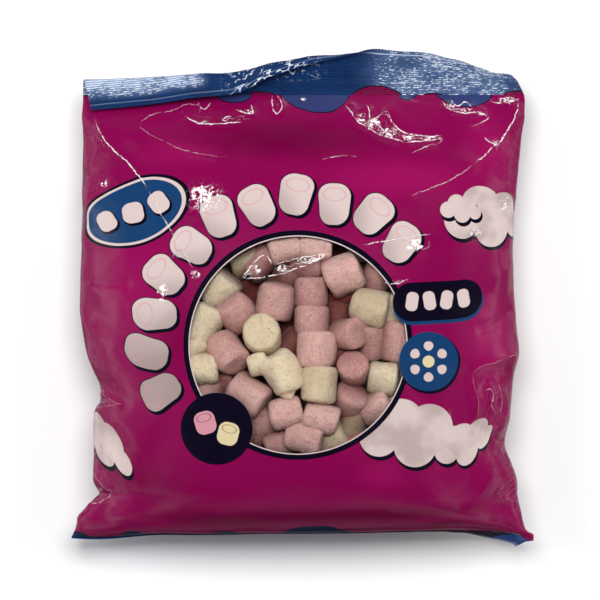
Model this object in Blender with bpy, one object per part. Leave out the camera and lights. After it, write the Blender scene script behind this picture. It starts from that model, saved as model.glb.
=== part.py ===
"""A pillow bag of mini marshmallows, lying on its back with its round window up.

+X runs across the bag to the right, +Y up the bag to its top seal, +Z out of its front.
The origin is the middle of the bag's box, on the surface that it lies on. Lengths are in metres.

The pouch is a flat tube of film, closed at both ends and plumped out by what is in it. Its
cross-sections at each height are domes over and under a line from side fold to side fold. The
window is a round pocket cut into the front, which holds the heap of marshmallows under a clear
film. Both seals are ribbons that start at the pouch's ends and bend: the top one is folded
forward at the left and curls back at the right, and the bottom one is folded back underneath.
"""

import math

import bpy
import numpy as np
from mathutils import Vector
from mathutils.geometry import delaunay_2d_cdt

# --- Driving dimensions -----------------------------------------------------------------------

BOTTOM = -0.0955  # where the bottom seal starts, measured up the bag from its middle
TOP = 0.0820  # where the top seal starts
SEAL_THICKNESS = 0.0008  # both films and their crimp, pressed together
TOP_SEAL_HEIGHT = 0.0195
BOTTOM_SEAL_HEIGHT = 0.0130
BLUNT_DEPTH = 0.0240  # how far up the bag its flat base takes to reach full height

WINDOW_CENTRE = (-0.0016, -0.0192)
WINDOW_RADIUS = 0.0435
WINDOW_FILM = 0.0005  # thickness of the clear film as a solid
POCKET_FLOOR = 0.0160  # height of the pocket's floor under the window

MARSHMALLOW_RADIUS = 0.0070
MARSHMALLOW_LENGTH = 0.0130
HEAP_SINK = 0.0060  # how much deeper than the highest marshmallow the others may lie
HEAP_FLOOR = 0.0150  # depth of the gaps between them

SEAM_HALF_WIDTH = 0.058  # as a share of the bag's half width, so about 5 mm
SEAM_THICKNESS = 0.0007
SEAM_GROOVE = SEAM_HALF_WIDTH + 0.0035  # the groove in the back that holds the seam
GAP = 0.0003  # between neighbouring solids

# Side folds: how far they are from the middle, at points up the bag. The bag is narrowest where
# it is fullest, has a pinch or two in each side, and runs out to an ear at both bottom corners.
LEFT_FOLD = [
    (-0.0955, 0.0925),
    (-0.0900, 0.0905),
    (-0.0800, 0.0824),
    (-0.0725, 0.0842),
    (-0.0560, 0.0828),
    (-0.0400, 0.0815),
    (-0.0230, 0.0868),
    (0.0000, 0.0898),
    (0.0300, 0.0891),
    (0.0820, 0.0887),
]
RIGHT_FOLD = [
    (-0.0955, 0.0915),
    (-0.0880, 0.0888),
    (-0.0720, 0.0860),
    (-0.0600, 0.0818),
    (-0.0450, 0.0838),
    (-0.0220, 0.0873),
    (0.0150, 0.0856),
    (0.0450, 0.0868),
    (0.0820, 0.0898),
]
# Height of the front's crown above the surface, up the bag.
CROWN = [
    (-0.0955, 0.0440),
    (-0.0800, 0.0500),
    (-0.0450, 0.0520),
    (-0.0150, 0.0495),
    (0.0250, 0.0410),
    (0.0500, 0.0325),
    (0.0680, 0.0245),
    (0.0820, 0.0188),
]
# Height of the side folds above the surface.
FOLD_LEVEL = [(-0.0955, 0.0200), (-0.0400, 0.0195), (0.0200, 0.0180), (0.0820, 0.0180)]
# Height of the back's lowest line. Below nought the bag's weight presses it flat.
BACK = [
    (-0.0955, -0.0020),
    (0.0250, -0.0030),
    (0.0450, 0.0000),
    (0.0650, 0.0085),
    (0.0820, 0.0172),
]

# Creases in the front film: start, end, height (a valley is negative) and half width.
CREASES = [
    ((-0.084, 0.072), (-0.044, 0.011), 0.0016, 0.0050),
    ((0.087, 0.078), (0.080, 0.061), 0.0016, 0.0045),
    ((0.080, 0.061), (0.048, 0.042), 0.0018, 0.0050),
    ((-0.066, 0.071), (-0.043, 0.058), 0.0012, 0.0045),
    ((0.018, 0.078), (0.050, 0.063), -0.0016, 0.0050),
    ((0.056, 0.079), (0.076, 0.074), -0.0012, 0.0040),
    ((-0.082, -0.040), (-0.060, -0.046), -0.0022, 0.0040),
    ((-0.083, -0.080), (-0.064, -0.073), -0.0024, 0.0045),
    ((0.082, -0.060), (0.064, -0.052), -0.0022, 0.0045),
    ((0.086, -0.010), (0.066, -0.020), -0.0016, 0.0045),
    ((-0.089, 0.006), (-0.066, 0.000), -0.0014, 0.0040),
]

# The top seal, from the left end (-1) to the right end (1): how far up it its forward fold
# starts, how much of it the fold takes, how many degrees the fold turns it, and how many degrees
# it leans back on the whole.
FOLD_START = [(-1, 0.0040), (-0.6, 0.0044), (-0.28, 0.0036), (0.0, 0.0090), (0.3, 0.0090)]
FOLD_LENGTH = [(-1, 0.0034), (-0.7, 0.0042), (-0.28, 0.0120), (0.3, 0.0100)]
FOLD_TURN = [(-1, 158), (-0.46, 155), (-0.28, 145), (-0.05, 108), (0.12, 45), (0.3, 0)]
LEAN_BACK = [(0.2, 0), (0.42, 14), (0.75, 43), (1.0, 64)]
CORNER_LEAN = 0.40  # how far the seal's right end also leans in over the bag, per unit of height

# The bottom seal's turn towards the back, in degrees, between the same ends.
BASE_TURN = [(-1, -80), (-0.8, -85), (0.45, -86), (0.86, -64), (1.0, -66)]

# --- Curves and surfaces ----------------------------------------------------------------------


def smooth(points, at):
    """A curve through points that rises and falls only where they do (monotone cubic)."""
    x, y = np.array(points, float).T
    at = np.clip(np.asarray(at, float), x[0], x[-1])
    step, slope = np.diff(x), np.diff(y) / np.diff(x)
    tangent = np.concatenate([[slope[0]], (slope[1:] + slope[:-1]) / 2, [slope[-1]]])
    turn = np.concatenate([[1.0], slope[1:] * slope[:-1], [1.0]])
    limit = 3 * np.minimum(
        np.abs(np.concatenate([[slope[0]], slope])),
        np.abs(np.concatenate([slope, [slope[-1]]])),
    )
    tangent = np.where(turn > 0, np.clip(tangent, -limit, limit), 0.0)
    i = np.clip(np.searchsorted(x, at) - 1, 0, len(step) - 1)
    t = (at - x[i]) / step[i]
    return (
        y[i] * (1 + 2 * t) * (1 - t) ** 2
        + y[i + 1] * t**2 * (3 - 2 * t)
        + step[i] * (tangent[i] * t * (1 - t) ** 2 + tangent[i + 1] * t**2 * (t - 1))
    )


def ease(low, high, value):
    """0 below low, 1 above high, and a soft step between."""
    t = np.clip((np.asarray(value, float) - low) / (high - low), 0, 1)
    return t * t * (3 - 2 * t)


def blunt_end(y):
    """0 at the bottom seal, rising steeply to 1: the flat base that the full bag has."""
    near = np.clip((np.asarray(y, float) - BOTTOM) / BLUNT_DEPTH, 0, 1)
    return (1 - (1 - near) ** 2.6) ** (1 / 2.6)


def section(y):
    """(fold level, crown, lowest line) of the cross-section at height y."""
    end = blunt_end(y)
    level = smooth(FOLD_LEVEL, y)
    crown = level + SEAL_THICKNESS / 2 + (smooth(CROWN, y) - level) * end
    low = level - SEAL_THICKNESS / 2 - (level - smooth(BACK, y)) * end
    return level, crown, low


def width(side, y):
    """How far the side fold is from the middle, on the side that the sign of side gives."""
    return np.where(np.asarray(side) < 0, smooth(LEFT_FOLD, y), smooth(RIGHT_FOLD, y))


def creases(x, y):
    """How far the creases lift the front film at (x, y)."""
    lift = np.zeros(np.broadcast(x, y).shape)
    for (ax, ay), (bx, by), height, half_width in CREASES:
        dx, dy = bx - ax, by - ay
        along = np.clip(((x - ax) * dx + (y - ay) * dy) / (dx * dx + dy * dy), 0, 1)
        away = np.hypot(x - ax - along * dx, y - ay - along * dy)
        fade = 1 - along * along
        lift += height * fade * np.exp(-((away / half_width) ** 1.5))
    return lift


def front(across, y):
    """(x, z) of the front film. across runs from -1 at the left fold to 1 at the right."""
    level, crown, _ = section(y)
    x = across * width(across, y)
    dome = (1 - np.abs(across) ** 2.3) ** (1 / 1.9)
    inside = ease(0, 0.25, 1 - np.abs(across)) * ease(BOTTOM, BOTTOM + 0.02, y)
    inside = inside * ease(0, 0.008, TOP - y)
    return x, level + (crown - level) * dome + creases(x, y) * inside


def back(across, y):
    """(x, z) of the back film, flat where the bag's weight presses it to the surface."""
    level, _, low = section(y)
    dome = (1 - np.abs(across) ** 2.6) ** (1 / 1.8)
    z = np.maximum(level - (level - low) * dome, 0.0)
    return across * width(across, y), z


def front_height(x, y):
    return front(np.clip(x / width(x, y), -1, 1), y)[1]


# --- Blender helpers --------------------------------------------------------------------------


def material(name, colour, roughness, alpha=1.0):
    made = bpy.data.materials.new(name)
    made.use_nodes = True
    shader = made.node_tree.nodes["Principled BSDF"]
    shader.inputs["Base Color"].default_value = (*colour, 1.0)
    shader.inputs["Roughness"].default_value = roughness
    shader.inputs["Metallic"].default_value = 0.0
    shader.inputs["Alpha"].default_value = alpha
    return made


def solid(name, points, faces, finish):
    mesh = bpy.data.meshes.new(name)
    mesh.from_pydata([tuple(map(float, p)) for p in points], [], faces)
    mesh.validate()
    mesh.materials.append(finish)
    mesh.shade_smooth()
    mesh.set_sharp_from_angle(angle=math.radians(50))
    made = bpy.data.objects.new(name, mesh)
    bpy.context.scene.collection.objects.link(made)
    return made


def cut(target, cutter):
    """Takes the cutter's shape out of the target, and hides the cutter."""
    knife = target.modifiers.new("Cut", "BOOLEAN")
    knife.operation = "DIFFERENCE"
    knife.solver = "EXACT"
    knife.object = cutter
    cutter.hide_render = True
    cutter.display_type = "WIRE"


# --- The pouch --------------------------------------------------------------------------------


def columns():
    """Where the pouch's lengthwise lines run, close together at the folds and at the seam."""
    even = np.sin(np.linspace(-0.5, 0.5, 29) * math.pi)
    step = 0.002
    seam = [-SEAM_GROOVE - step, -SEAM_GROOVE, SEAM_GROOVE, SEAM_GROOVE + step]
    apart = [a for a in even if min(abs(a - s) for s in seam) > 0.012]
    return np.array(sorted([*apart, *seam]))


def rows():
    """How far up the bag its cross-sections are, closer together round the blunt base."""
    base = BOTTOM + BLUNT_DEPTH * (1 - np.cos(np.linspace(0, 0.5, 8) * math.pi))
    body = np.linspace(base[-1], TOP, 33)
    return np.concatenate([base, body[1:]])


def pouch(finish):
    across, heights = columns(), rows()
    groove = np.abs(across) <= SEAM_GROOVE + 1e-9
    n = len(across)
    points = []
    for y in heights:
        fx, fz = front(across, y)
        bx, bz = back(across[1:-1], y)
        bz = bz + (SEAM_THICKNESS + GAP) * groove[1:-1] * float(ease(TOP, TOP - 0.02, y))
        points += zip(fx, np.full(n, y), fz)
        points += zip(bx, np.full(n - 2, y), bz)
    ring = 2 * n - 2

    def at(row, column, side):
        """Index of a point: side 0 is the front, and side 1 the back, which shares its ends."""
        if side == 0 or column in (0, n - 1):
            return row * ring + column
        return row * ring + n + column - 1

    faces = []
    for r in range(len(heights) - 1):
        for c in range(n - 1):
            faces.append([at(r, c, 0), at(r, c + 1, 0), at(r + 1, c + 1, 0), at(r + 1, c, 0)])
            faces.append([at(r, c, 1), at(r + 1, c, 1), at(r + 1, c + 1, 1), at(r, c + 1, 1)])
    last = len(heights) - 1
    for c in range(n - 1):
        low = [at(0, c, 0), at(0, c, 1), at(0, c + 1, 1), at(0, c + 1, 0)]
        high = [at(last, c, 0), at(last, c + 1, 0), at(last, c + 1, 1), at(last, c, 1)]
        faces += [list(dict.fromkeys(low)), list(dict.fromkeys(high))]
    return solid("pouch", points, faces, finish)


def pocket():
    """The cutter for the round space under the window."""
    height = 0.060
    bpy.ops.mesh.primitive_cylinder_add(
        vertices=60,
        radius=WINDOW_RADIUS,
        depth=height,
        location=(*WINDOW_CENTRE, POCKET_FLOOR + height / 2),
    )
    bpy.context.object.name = "pocket_cutter"
    return bpy.context.object


# --- What the window shows --------------------------------------------------------------------


def disc(radius, count, rim):
    """(points, triangles) of a round patch: points spaced as seeds in a sunflower, and a rim."""
    golden = math.pi * (3 - math.sqrt(5))
    inner = radius * (1 - 0.6 / math.sqrt(count))
    flat = []
    for i in range(count):
        r, turn = inner * math.sqrt((i + 0.5) / count), i * golden
        if r < radius * (1 - 2.2 / rim):
            flat.append(Vector((r * math.cos(turn), r * math.sin(turn))))
    for i in range(rim):
        turn = 2 * math.pi * i / rim
        flat.append(Vector((radius * math.cos(turn), radius * math.sin(turn))))
    made = delaunay_2d_cdt(flat, [], [], 0, 1e-7)
    rim_points = list(range(len(flat) - rim, len(flat)))
    places = np.array(flat) + np.array(WINDOW_CENTRE)
    return places, [list(t) for t in made[2]], rim_points


def slab(name, places, triangles, rim, top, bottom, finish):
    """A closed piece between two height fields over the same round patch."""
    n = len(places)
    points = [(*p, z) for p, z in zip(places, top)]
    points += [(*p, z) for p, z in zip(places, bottom)]
    faces = [list(t) for t in triangles]
    faces += [[n + i for i in reversed(t)] for t in triangles]
    for a, b in zip(rim, rim[1:] + rim[:1]):
        faces.append([b, a, n + a, n + b])
    return solid(name, points, faces, finish)


def window_film(finish):
    places, triangles, rim = disc(WINDOW_RADIUS - GAP, 130, 60)
    top = front_height(places[:, 0], places[:, 1])
    return slab("window_film", places, triangles, rim, top, top - WINDOW_FILM, finish)


def heap_places():
    """Middles, turns and sinks of the marshmallows that make the top of the heap."""
    spacing = 1.86 * MARSHMALLOW_RADIUS
    shift = 0.0030
    draw = np.random.default_rng(4)
    found = []
    for row in range(-4, 5):
        for column in range(-4, 5):
            dx, dy, turn, sink = draw.random(4)
            x = (column + 0.5 * (row % 2)) * spacing + (dx - 0.5) * shift
            y = row * spacing * math.sqrt(3) / 2 + (dy - 0.5) * shift
            if math.hypot(x, y) < WINDOW_RADIUS:
                found.append((x, y, turn * math.pi, sink * HEAP_SINK))
    return found


def heap(finish):
    """The marshmallows as one solid: the upper envelope of many short, round-edged cylinders."""
    places, triangles, rim = disc(WINDOW_RADIUS - GAP, 560, 72)
    local = places - np.array(WINDOW_CENTRE)
    roof = front_height(places[:, 0], places[:, 1]) - WINDOW_FILM - 2 * GAP
    top = roof - HEAP_FLOOR
    height = 1.6 * MARSHMALLOW_RADIUS
    for x, y, turn, sink in heap_places():
        dx, dy = local[:, 0] - x, local[:, 1] - y
        along = (dx * math.cos(turn) + dy * math.sin(turn)) / (MARSHMALLOW_LENGTH / 2)
        beside = (dy * math.cos(turn) - dx * math.sin(turn)) / MARSHMALLOW_RADIUS
        near = np.clip(1 - np.abs(along) ** 4 - np.abs(beside) ** 2.4, 0, 1)
        lump = roof - sink - height * (1 - near**0.45)
        top = np.where(near > 0, np.maximum(top, lump), top)
    n = len(places)
    points = [(*p, z) for p, z in zip(places, top)]
    points += [(*places[i], POCKET_FLOOR + GAP) for i in rim]
    faces = [list(t) for t in triangles]
    lower = {r: n + k for k, r in enumerate(rim)}
    for a, b in zip(rim, rim[1:] + rim[:1]):
        faces.append([b, a, lower[a], lower[b]])
    faces.append([lower[r] for r in reversed(rim)])
    return solid("marshmallows", points, faces, finish)


# --- Seals and seam ---------------------------------------------------------------------------


def ribbon(name, joint, outward, height, angle, finish, count, ribs, lean=0.0):
    """A crimped strip. joint(u) is a point of the line where it starts, outward is 1 up the bag
    or -1 down it, and angle(u, w) is how far it has bent forward, w metres from that line."""
    across = np.linspace(-1, 1, count)
    steps = 4 * ribs + 1
    step = height / (steps - 1)
    w = np.linspace(0, height, steps)
    middle = np.zeros((count, steps, 3))
    normal = np.zeros((count, steps, 3))
    for i, u in enumerate(across):
        turn = angle(u, w)
        dy, dz = np.cos(turn) * outward, np.sin(turn)
        along = np.concatenate([[0], np.cumsum((dy[1:] + dy[:-1]) / 2)]) * step
        rise = np.concatenate([[0], np.cumsum((dz[1:] + dz[:-1]) / 2)]) * step
        x, y, z = joint(u)
        aside = lean * float(ease(0.80, 1.05, u)) * w
        middle[i] = np.stack([x - aside, y + along, z + rise], axis=1)
        normal[i] = np.stack([np.zeros(steps), -dz * outward, dy * outward], axis=1)
    wave = 0.00018 * np.sin(np.linspace(0, ribs, steps) * 2 * math.pi)[None, :, None]
    skin = normal * SEAL_THICKNESS / 2
    upper = (middle + normal * wave + skin).reshape(-1, 3)
    lower = (middle + normal * wave - skin).reshape(-1, 3)
    size = count * steps
    faces = []
    for i in range(count - 1):
        for j in range(steps - 1):
            a, b = i * steps + j, (i + 1) * steps + j
            faces.append([a, b, b + 1, a + 1])
            faces.append([size + a, size + a + 1, size + b + 1, size + b])
        for j in (0, steps - 1):
            a, b = i * steps + j, (i + 1) * steps + j
            edge = [a, size + a, size + b, b]
            faces.append(edge if j == 0 else edge[::-1])
    for j in range(steps - 1):
        for i in (0, count - 1):
            a = i * steps + j
            edge = [a, a + 1, size + a + 1, size + a]
            faces.append(edge if i == 0 else edge[::-1])
    if outward < 0:
        faces = [face[::-1] for face in faces]
    return solid(name, np.concatenate([upper, lower]), faces, finish)


def top_seal(finish):
    """Folded forward and down at the left, standing in the middle, and curled back at the right."""

    def joint(u):
        return u * float(width(u, TOP)), TOP + GAP, float(section(TOP)[0])

    def angle(u, w):
        start, length = float(smooth(FOLD_START, u)), float(smooth(FOLD_LENGTH, u))
        forward = math.radians(float(smooth(FOLD_TURN, u))) * ease(start, start + length, w)
        back = math.radians(float(smooth(LEAN_BACK, u))) * (0.4 + 1.2 * w / TOP_SEAL_HEIGHT)
        return forward - back

    return ribbon("top_seal", joint, 1, TOP_SEAL_HEIGHT, angle, finish, 33, 3, CORNER_LEAN)


def bottom_seal(finish):
    """Folded back flat against the base, and standing off it near the right ear."""

    def joint(u):
        return u * float(width(u, BOTTOM)), BOTTOM - GAP, float(section(BOTTOM)[0])

    def angle(u, w):
        return math.radians(float(smooth(BASE_TURN, u))) * ease(0, 0.0030, w)

    return ribbon("bottom_seal", joint, -1, BOTTOM_SEAL_HEIGHT, angle, finish, 25, 2)


def back_seam(finish):
    """The lengthwise seam of the tube, folded flat into the groove up the middle of the back."""
    heights = [y for y in rows() if BOTTOM + 0.022 < y < TOP - 0.020]
    points = []
    for y in heights:
        for side in (-1, 1):
            x, z = back(np.array(side * SEAM_HALF_WIDTH), y)
            points += [(x, y, z), (x, y, z + SEAM_THICKNESS)]
    faces = []
    for r in range(len(heights) - 1):
        a, b = 4 * r, 4 * r + 4
        faces.append([a, b, b + 2, a + 2])
        faces.append([a + 1, a + 3, b + 3, b + 1])
        faces.append([a, a + 1, b + 1, b])
        faces.append([a + 2, b + 2, b + 3, a + 3])
    faces.append([0, 2, 3, 1])
    end = 4 * (len(heights) - 1)
    faces.append([end, end + 1, end + 3, end + 2])
    return solid("back_seam", points, faces, finish)


# --- The bag ----------------------------------------------------------------------------------


def centre_on_origin(pieces):
    """Moves everything so that the middle of its box is over the origin, and it lies on Z = 0."""
    points = np.array([v.co for piece in pieces for v in piece.data.vertices])
    low, high = points.min(axis=0), points.max(axis=0)
    shift = Vector((-(low[0] + high[0]) / 2, -(low[1] + high[1]) / 2, -low[2]))
    for piece in bpy.context.scene.collection.all_objects:
        piece.location += shift
    print("moved by", [round(v * 1000, 2) for v in shift], "mm")


def main():
    for old in list(bpy.data.objects):
        bpy.data.objects.remove(old)
    printed = material("printed film", (0.28, 0.004, 0.095), 0.22)
    blue = material("blue seal film", (0.02, 0.07, 0.22), 0.25)
    clear = material("clear film", (0.9, 0.9, 0.9), 0.08, alpha=0.25)
    sweet = material("marshmallow", (0.66, 0.38, 0.36), 0.85)
    body = pouch(printed)
    cut(body, pocket())
    pieces = [
        body,
        window_film(clear),
        heap(sweet),
        top_seal(blue),
        bottom_seal(blue),
        back_seam(printed),
    ]
    centre_on_origin(pieces)


main()
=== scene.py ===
# %% [markdown]
# # A bag of mini marshmallows
# This lesson dresses a plain model of a sweet bag as the real thing: a printed film pouch that a
# cloth simulation plumps up, a clear round window, two crimped seals, and a heap of pink and
# white marshmallows. The plain model is the frame. It gives every size and place, so the first
# step loads it and reads from it where the pouch and its window are. Everything is in metres,
# the bag lies on its back on Z = 0, and +Y goes up the bag to its top seal.

# %% The frame and what it measures
import math

import bmesh
import bpy
import numpy as np
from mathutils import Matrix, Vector, noise
from mathutils.bvhtree import BVHTree
from mathutils.interpolate import poly_3d_calc


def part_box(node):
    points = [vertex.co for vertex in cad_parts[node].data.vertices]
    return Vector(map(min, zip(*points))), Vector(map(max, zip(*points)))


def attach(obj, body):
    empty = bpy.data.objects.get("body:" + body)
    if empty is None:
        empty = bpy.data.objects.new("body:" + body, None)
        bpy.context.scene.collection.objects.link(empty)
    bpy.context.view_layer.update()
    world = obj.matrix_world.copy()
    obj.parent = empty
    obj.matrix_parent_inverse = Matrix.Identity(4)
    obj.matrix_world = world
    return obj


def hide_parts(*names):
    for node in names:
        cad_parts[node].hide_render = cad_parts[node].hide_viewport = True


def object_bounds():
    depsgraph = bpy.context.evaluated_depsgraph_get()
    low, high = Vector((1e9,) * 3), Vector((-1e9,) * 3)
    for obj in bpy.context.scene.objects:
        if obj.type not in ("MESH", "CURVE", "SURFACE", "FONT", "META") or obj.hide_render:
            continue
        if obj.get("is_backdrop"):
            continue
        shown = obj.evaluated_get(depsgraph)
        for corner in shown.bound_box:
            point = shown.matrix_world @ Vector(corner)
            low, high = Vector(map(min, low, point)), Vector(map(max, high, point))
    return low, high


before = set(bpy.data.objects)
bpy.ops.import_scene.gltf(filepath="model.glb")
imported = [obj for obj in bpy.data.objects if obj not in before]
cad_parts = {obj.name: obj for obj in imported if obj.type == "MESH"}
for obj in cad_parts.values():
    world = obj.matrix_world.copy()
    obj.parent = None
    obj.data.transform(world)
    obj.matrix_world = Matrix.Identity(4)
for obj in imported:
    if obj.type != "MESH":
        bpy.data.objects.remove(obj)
cad_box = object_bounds()
scene = bpy.context.scene
MM = 0.001

pouch_low, pouch_high = (np.array(corner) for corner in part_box("pouch"))
window_low, window_high = (np.array(corner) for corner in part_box("window_film"))
WINDOW = ((window_low + window_high) / 2)[:2]
WINDOW_MM = np.array([-1.6, -19.2])  # the window's middle, in mm from the bag's own middle
WINDOW_RADIUS = (window_high[0] - window_low[0]) / 2 + 0.3 * MM
BOTTOM, TOP = pouch_low[1], pouch_high[1]  # where the two seals start
MIDDLE = WINDOW - WINDOW_MM * MM  # the bag's own middle, for places given in mm
CENTRE = np.array([*MIDDLE, 0])
print("pouch", (pouch_high - pouch_low) / MM, "mm, window radius", WINDOW_RADIUS / MM, "mm")

# %% [markdown]
# ## Camera and lights
# The bag is looked at from straight above, which shows its front. A long lens far away keeps the
# outline from bulging. Film is mostly seen by what it reflects, so two jobs are kept apart. Three
# large soft boxes light the bag's colours and cast its shadow, and the film doesn't mirror them.
# Three small ones past its top end are mirrored, as sharp glints on the creases.

# %% Camera and lights
VIEW_WIDTH = 243 * MM  # what the picture takes in, at the height of the bag's side folds
CAMERA_HEIGHT = 3.0
FOLD_HEIGHT = 19 * MM


def added(name, data):
    """An object with this data, in the scene."""
    made = bpy.data.objects.new(name, data)
    scene.collection.objects.link(made)
    return made


camera_data = bpy.data.cameras.new("camera")
camera = added("camera", camera_data)
camera_data.sensor_width = 36
camera_data.lens = 36 * (CAMERA_HEIGHT - FOLD_HEIGHT) / VIEW_WIDTH
camera_data.clip_end = 10
camera.location = (MIDDLE[0] - 0.8 * MM, MIDDLE[1] - 1.2 * MM, CAMERA_HEIGHT)
scene.camera = camera
scene.view_settings.view_transform = "Standard"


def soft_box(name, place, size, power, mirrored=False, target=(0, 0, 0.02)):
    """A rectangular light that shines at a target. Film mirrors it only if it is told to."""
    light = bpy.data.lights.new(name, "AREA")
    light.shape = "RECTANGLE"
    light.size, light.size_y = size
    light.energy = power
    lamp = added(name, light)
    lamp.location = place
    lamp.rotation_euler = (Vector(target) - Vector(place)).to_track_quat("-Z", "Y").to_euler()
    lamp.visible_glossy = mirrored


soft_box("main box", (0.0, 0.48, 1.40), (1.1, 0.7), 20.5)
soft_box("left box", (-1.1, 0.15, 0.55), (0.4, 1.0), 6.4)
soft_box("right box", (1.1, 0.20, 0.55), (0.4, 1.0), 5.9)
soft_box("left glint", (-0.75, 1.0, 0.55), (0.10, 0.05), 0.3, True)
soft_box("middle glint", (0.25, 1.3, 0.50), (0.30, 0.03), 0.35, True)
soft_box("right glint", (1.0, 0.8, 0.60), (0.08, 0.08), 0.25, True)

print("lens", round(camera_data.lens), "mm, lights", len(bpy.data.lights))

# %% [markdown]
# ## Writing a material as arithmetic
# Every finish here is worked out by nodes, so none needs a picture file. Nodes are tedious to
# wire one by one, so a small class wraps a node's output and lets Python's own operators add the
# Math nodes: `1 - mask` becomes a Subtract node. A second class is the material being made. Its
# one method adds any other kind of node, from its type, its settings and what its sockets get.


# %% Wires and finishes
class Wire:
    """The output of a node. Arithmetic with it adds Math nodes to its material."""

    def __init__(self, finish, socket):
        self.finish, self.socket = finish, socket

    def maths(self, operation, *terms):
        return self.finish.node("ShaderNodeMath", {"operation": operation}, terms)

    def __add__(self, other):
        return self.maths("ADD", self, other)

    def __sub__(self, other):
        return self.maths("SUBTRACT", self, other)

    def __rsub__(self, other):
        return self.maths("SUBTRACT", other, self)

    def __mul__(self, other):
        return self.maths("MULTIPLY", self, other)

    def __truediv__(self, other):
        return self.maths("DIVIDE", self, other)

    def __pow__(self, other):
        return self.maths("POWER", self, other)

    def __neg__(self):
        return self.maths("MULTIPLY", self, -1.0)

    def __abs__(self):
        return self.maths("ABSOLUTE", self)

    __radd__, __rmul__ = __add__, __mul__


class Finish:
    """A material being made, or the world's glow if the world is given."""

    def __init__(self, name, world=None):
        self.material = world or bpy.data.materials.new(name)
        self.material.use_nodes = True
        self.tree = self.material.node_tree
        self.tree.nodes.clear()

    def node(self, kind, settings=None, sockets=(), out=0):
        """Adds a node: first its settings, then its sockets' values or wires, by name or place."""
        made = self.tree.nodes.new(kind)
        for key, value in (settings or {}).items():
            if key == "curve":
                line = made.mapping.curves[0]
                while len(line.points) < len(value):
                    line.points.new(0.5, 0.5)
                for point, at in zip(line.points, value):
                    point.location = at
                made.mapping.update()
            elif key == "stops":
                ramp = made.color_ramp
                while len(ramp.elements) < len(value):
                    ramp.elements.new(0.5)
                for element, (place, colour) in zip(ramp.elements, value):
                    element.position, element.color = place, (*colour, 1)
            else:
                setattr(made, key, value)
        for key, value in sockets.items() if isinstance(sockets, dict) else enumerate(sockets):
            if isinstance(value, Wire):
                self.tree.links.new(value.socket, made.inputs[key])
            else:
                made.inputs[key].default_value = value
        return Wire(self, made.outputs[out])

    def vector(self, operation, *terms, out=0):
        return self.node("ShaderNodeVectorMath", {"operation": operation}, terms, out)

    def scaled(self, vector, by):
        return self.vector("SCALE", vector, (0, 0, 0), (0, 0, 0), by)

    def parts(self, vector):
        """The three parts of a vector, each as a wire."""
        split = self.node("ShaderNodeSeparateXYZ", None, (vector,))
        return [Wire(self, split.socket.node.outputs[i]) for i in range(3)]

    def stored(self, name):
        """A vector stored with each point of the mesh, then its three parts."""
        vector = self.node("ShaderNodeAttribute", {"attribute_name": name}, (), 1)
        return vector, *self.parts(vector)

    def step(self, value, start, end):
        """0 where the value is at start or before it, and 1 where it is at end or past it."""
        settings = {"interpolation_type": "SMOOTHSTEP"}
        return self.node("ShaderNodeMapRange", settings, (value, start, end))

    def coat(self, under, over, mask):
        """One colour painted over another wherever the mask is 1."""
        under, over = ((*c, 1) if isinstance(c, tuple) else c for c in (under, over))
        return self.node("ShaderNodeMix", {"data_type": "RGBA"}, {0: mask, 6: under, 7: over}, 2)

    def cloud(self, where, size, detail=2.0, rough=0.5, out=0):
        """Soft noise whose lumps are about size across."""
        sockets = {"Vector": where, "Scale": 1 / size, "Detail": detail, "Roughness": rough}
        return self.node("ShaderNodeTexNoise", None, sockets, out)

    def bump(self, height, depth, normal=None):
        """Relief: a height from 0 to 1, times a depth in metres."""
        sockets = {"Height": height, "Distance": depth, "Strength": 1.0}
        if normal:
            sockets["Normal"] = normal
        return self.node("ShaderNodeBump", None, sockets)

    def solid(self, sockets):
        return self.node("ShaderNodeBsdfPrincipled", None, sockets)

    def show(self, shader, kind="ShaderNodeOutputMaterial"):
        output = self.tree.nodes.new(kind)
        self.tree.links.new(shader.socket, output.inputs["Surface"])
        return self.material


def ink(code):
    """A colour written as on a web page, such as "#790144", as the light values nodes want."""
    shares = [int(code[i : i + 2], 16) / 255 for i in (1, 3, 5)]
    return tuple(s / 12.92 if s < 0.04 else ((s + 0.055) / 1.055) ** 2.4 for s in shares)


def piece(name, points, faces, material, smooth=True):
    """A mesh object in the scene, from its points and faces."""
    mesh = bpy.data.meshes.new(name)
    mesh.from_pydata(np.asarray(points).tolist(), [], faces)
    mesh.materials.append(material)
    if smooth:
        mesh.shade_smooth()
    return added(name, mesh)


def stored_with(made, name, values):
    """Stores a vector with each point of a mesh, under a name that a finish can ask for."""
    layer = made.data.attributes.new(name, "FLOAT_VECTOR", "POINT")
    layer.data.foreach_set("vector", np.asarray(values, float).ravel())


def squares(rows, across, closed=False):
    """Faces between the points of a grid, which may be closed round its second axis."""
    faces = []
    for j in range(rows - 1):
        for i in range(across if closed else across - 1):
            a, b = j * across + i, j * across + (i + 1) % across
            faces.append((a, b, b + across, a + across))
    return faces


# %% [markdown]
# ## The room
# Film mirrors the room round it as a broad sheen, so the room is painted too, by the direction
# that is looked in: dim overhead, brightest low down at the two sides, and patchy, as a real room
# is, so that neighbouring facets of the film differ. Three ramps make brightness out of how high
# a direction is, how far it is to the side, and soft noise, and they are multiplied. A direction
# below the horizon counts as far to the side as the one level with it, so its sideways part is
# divided by the length of its level part.

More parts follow.
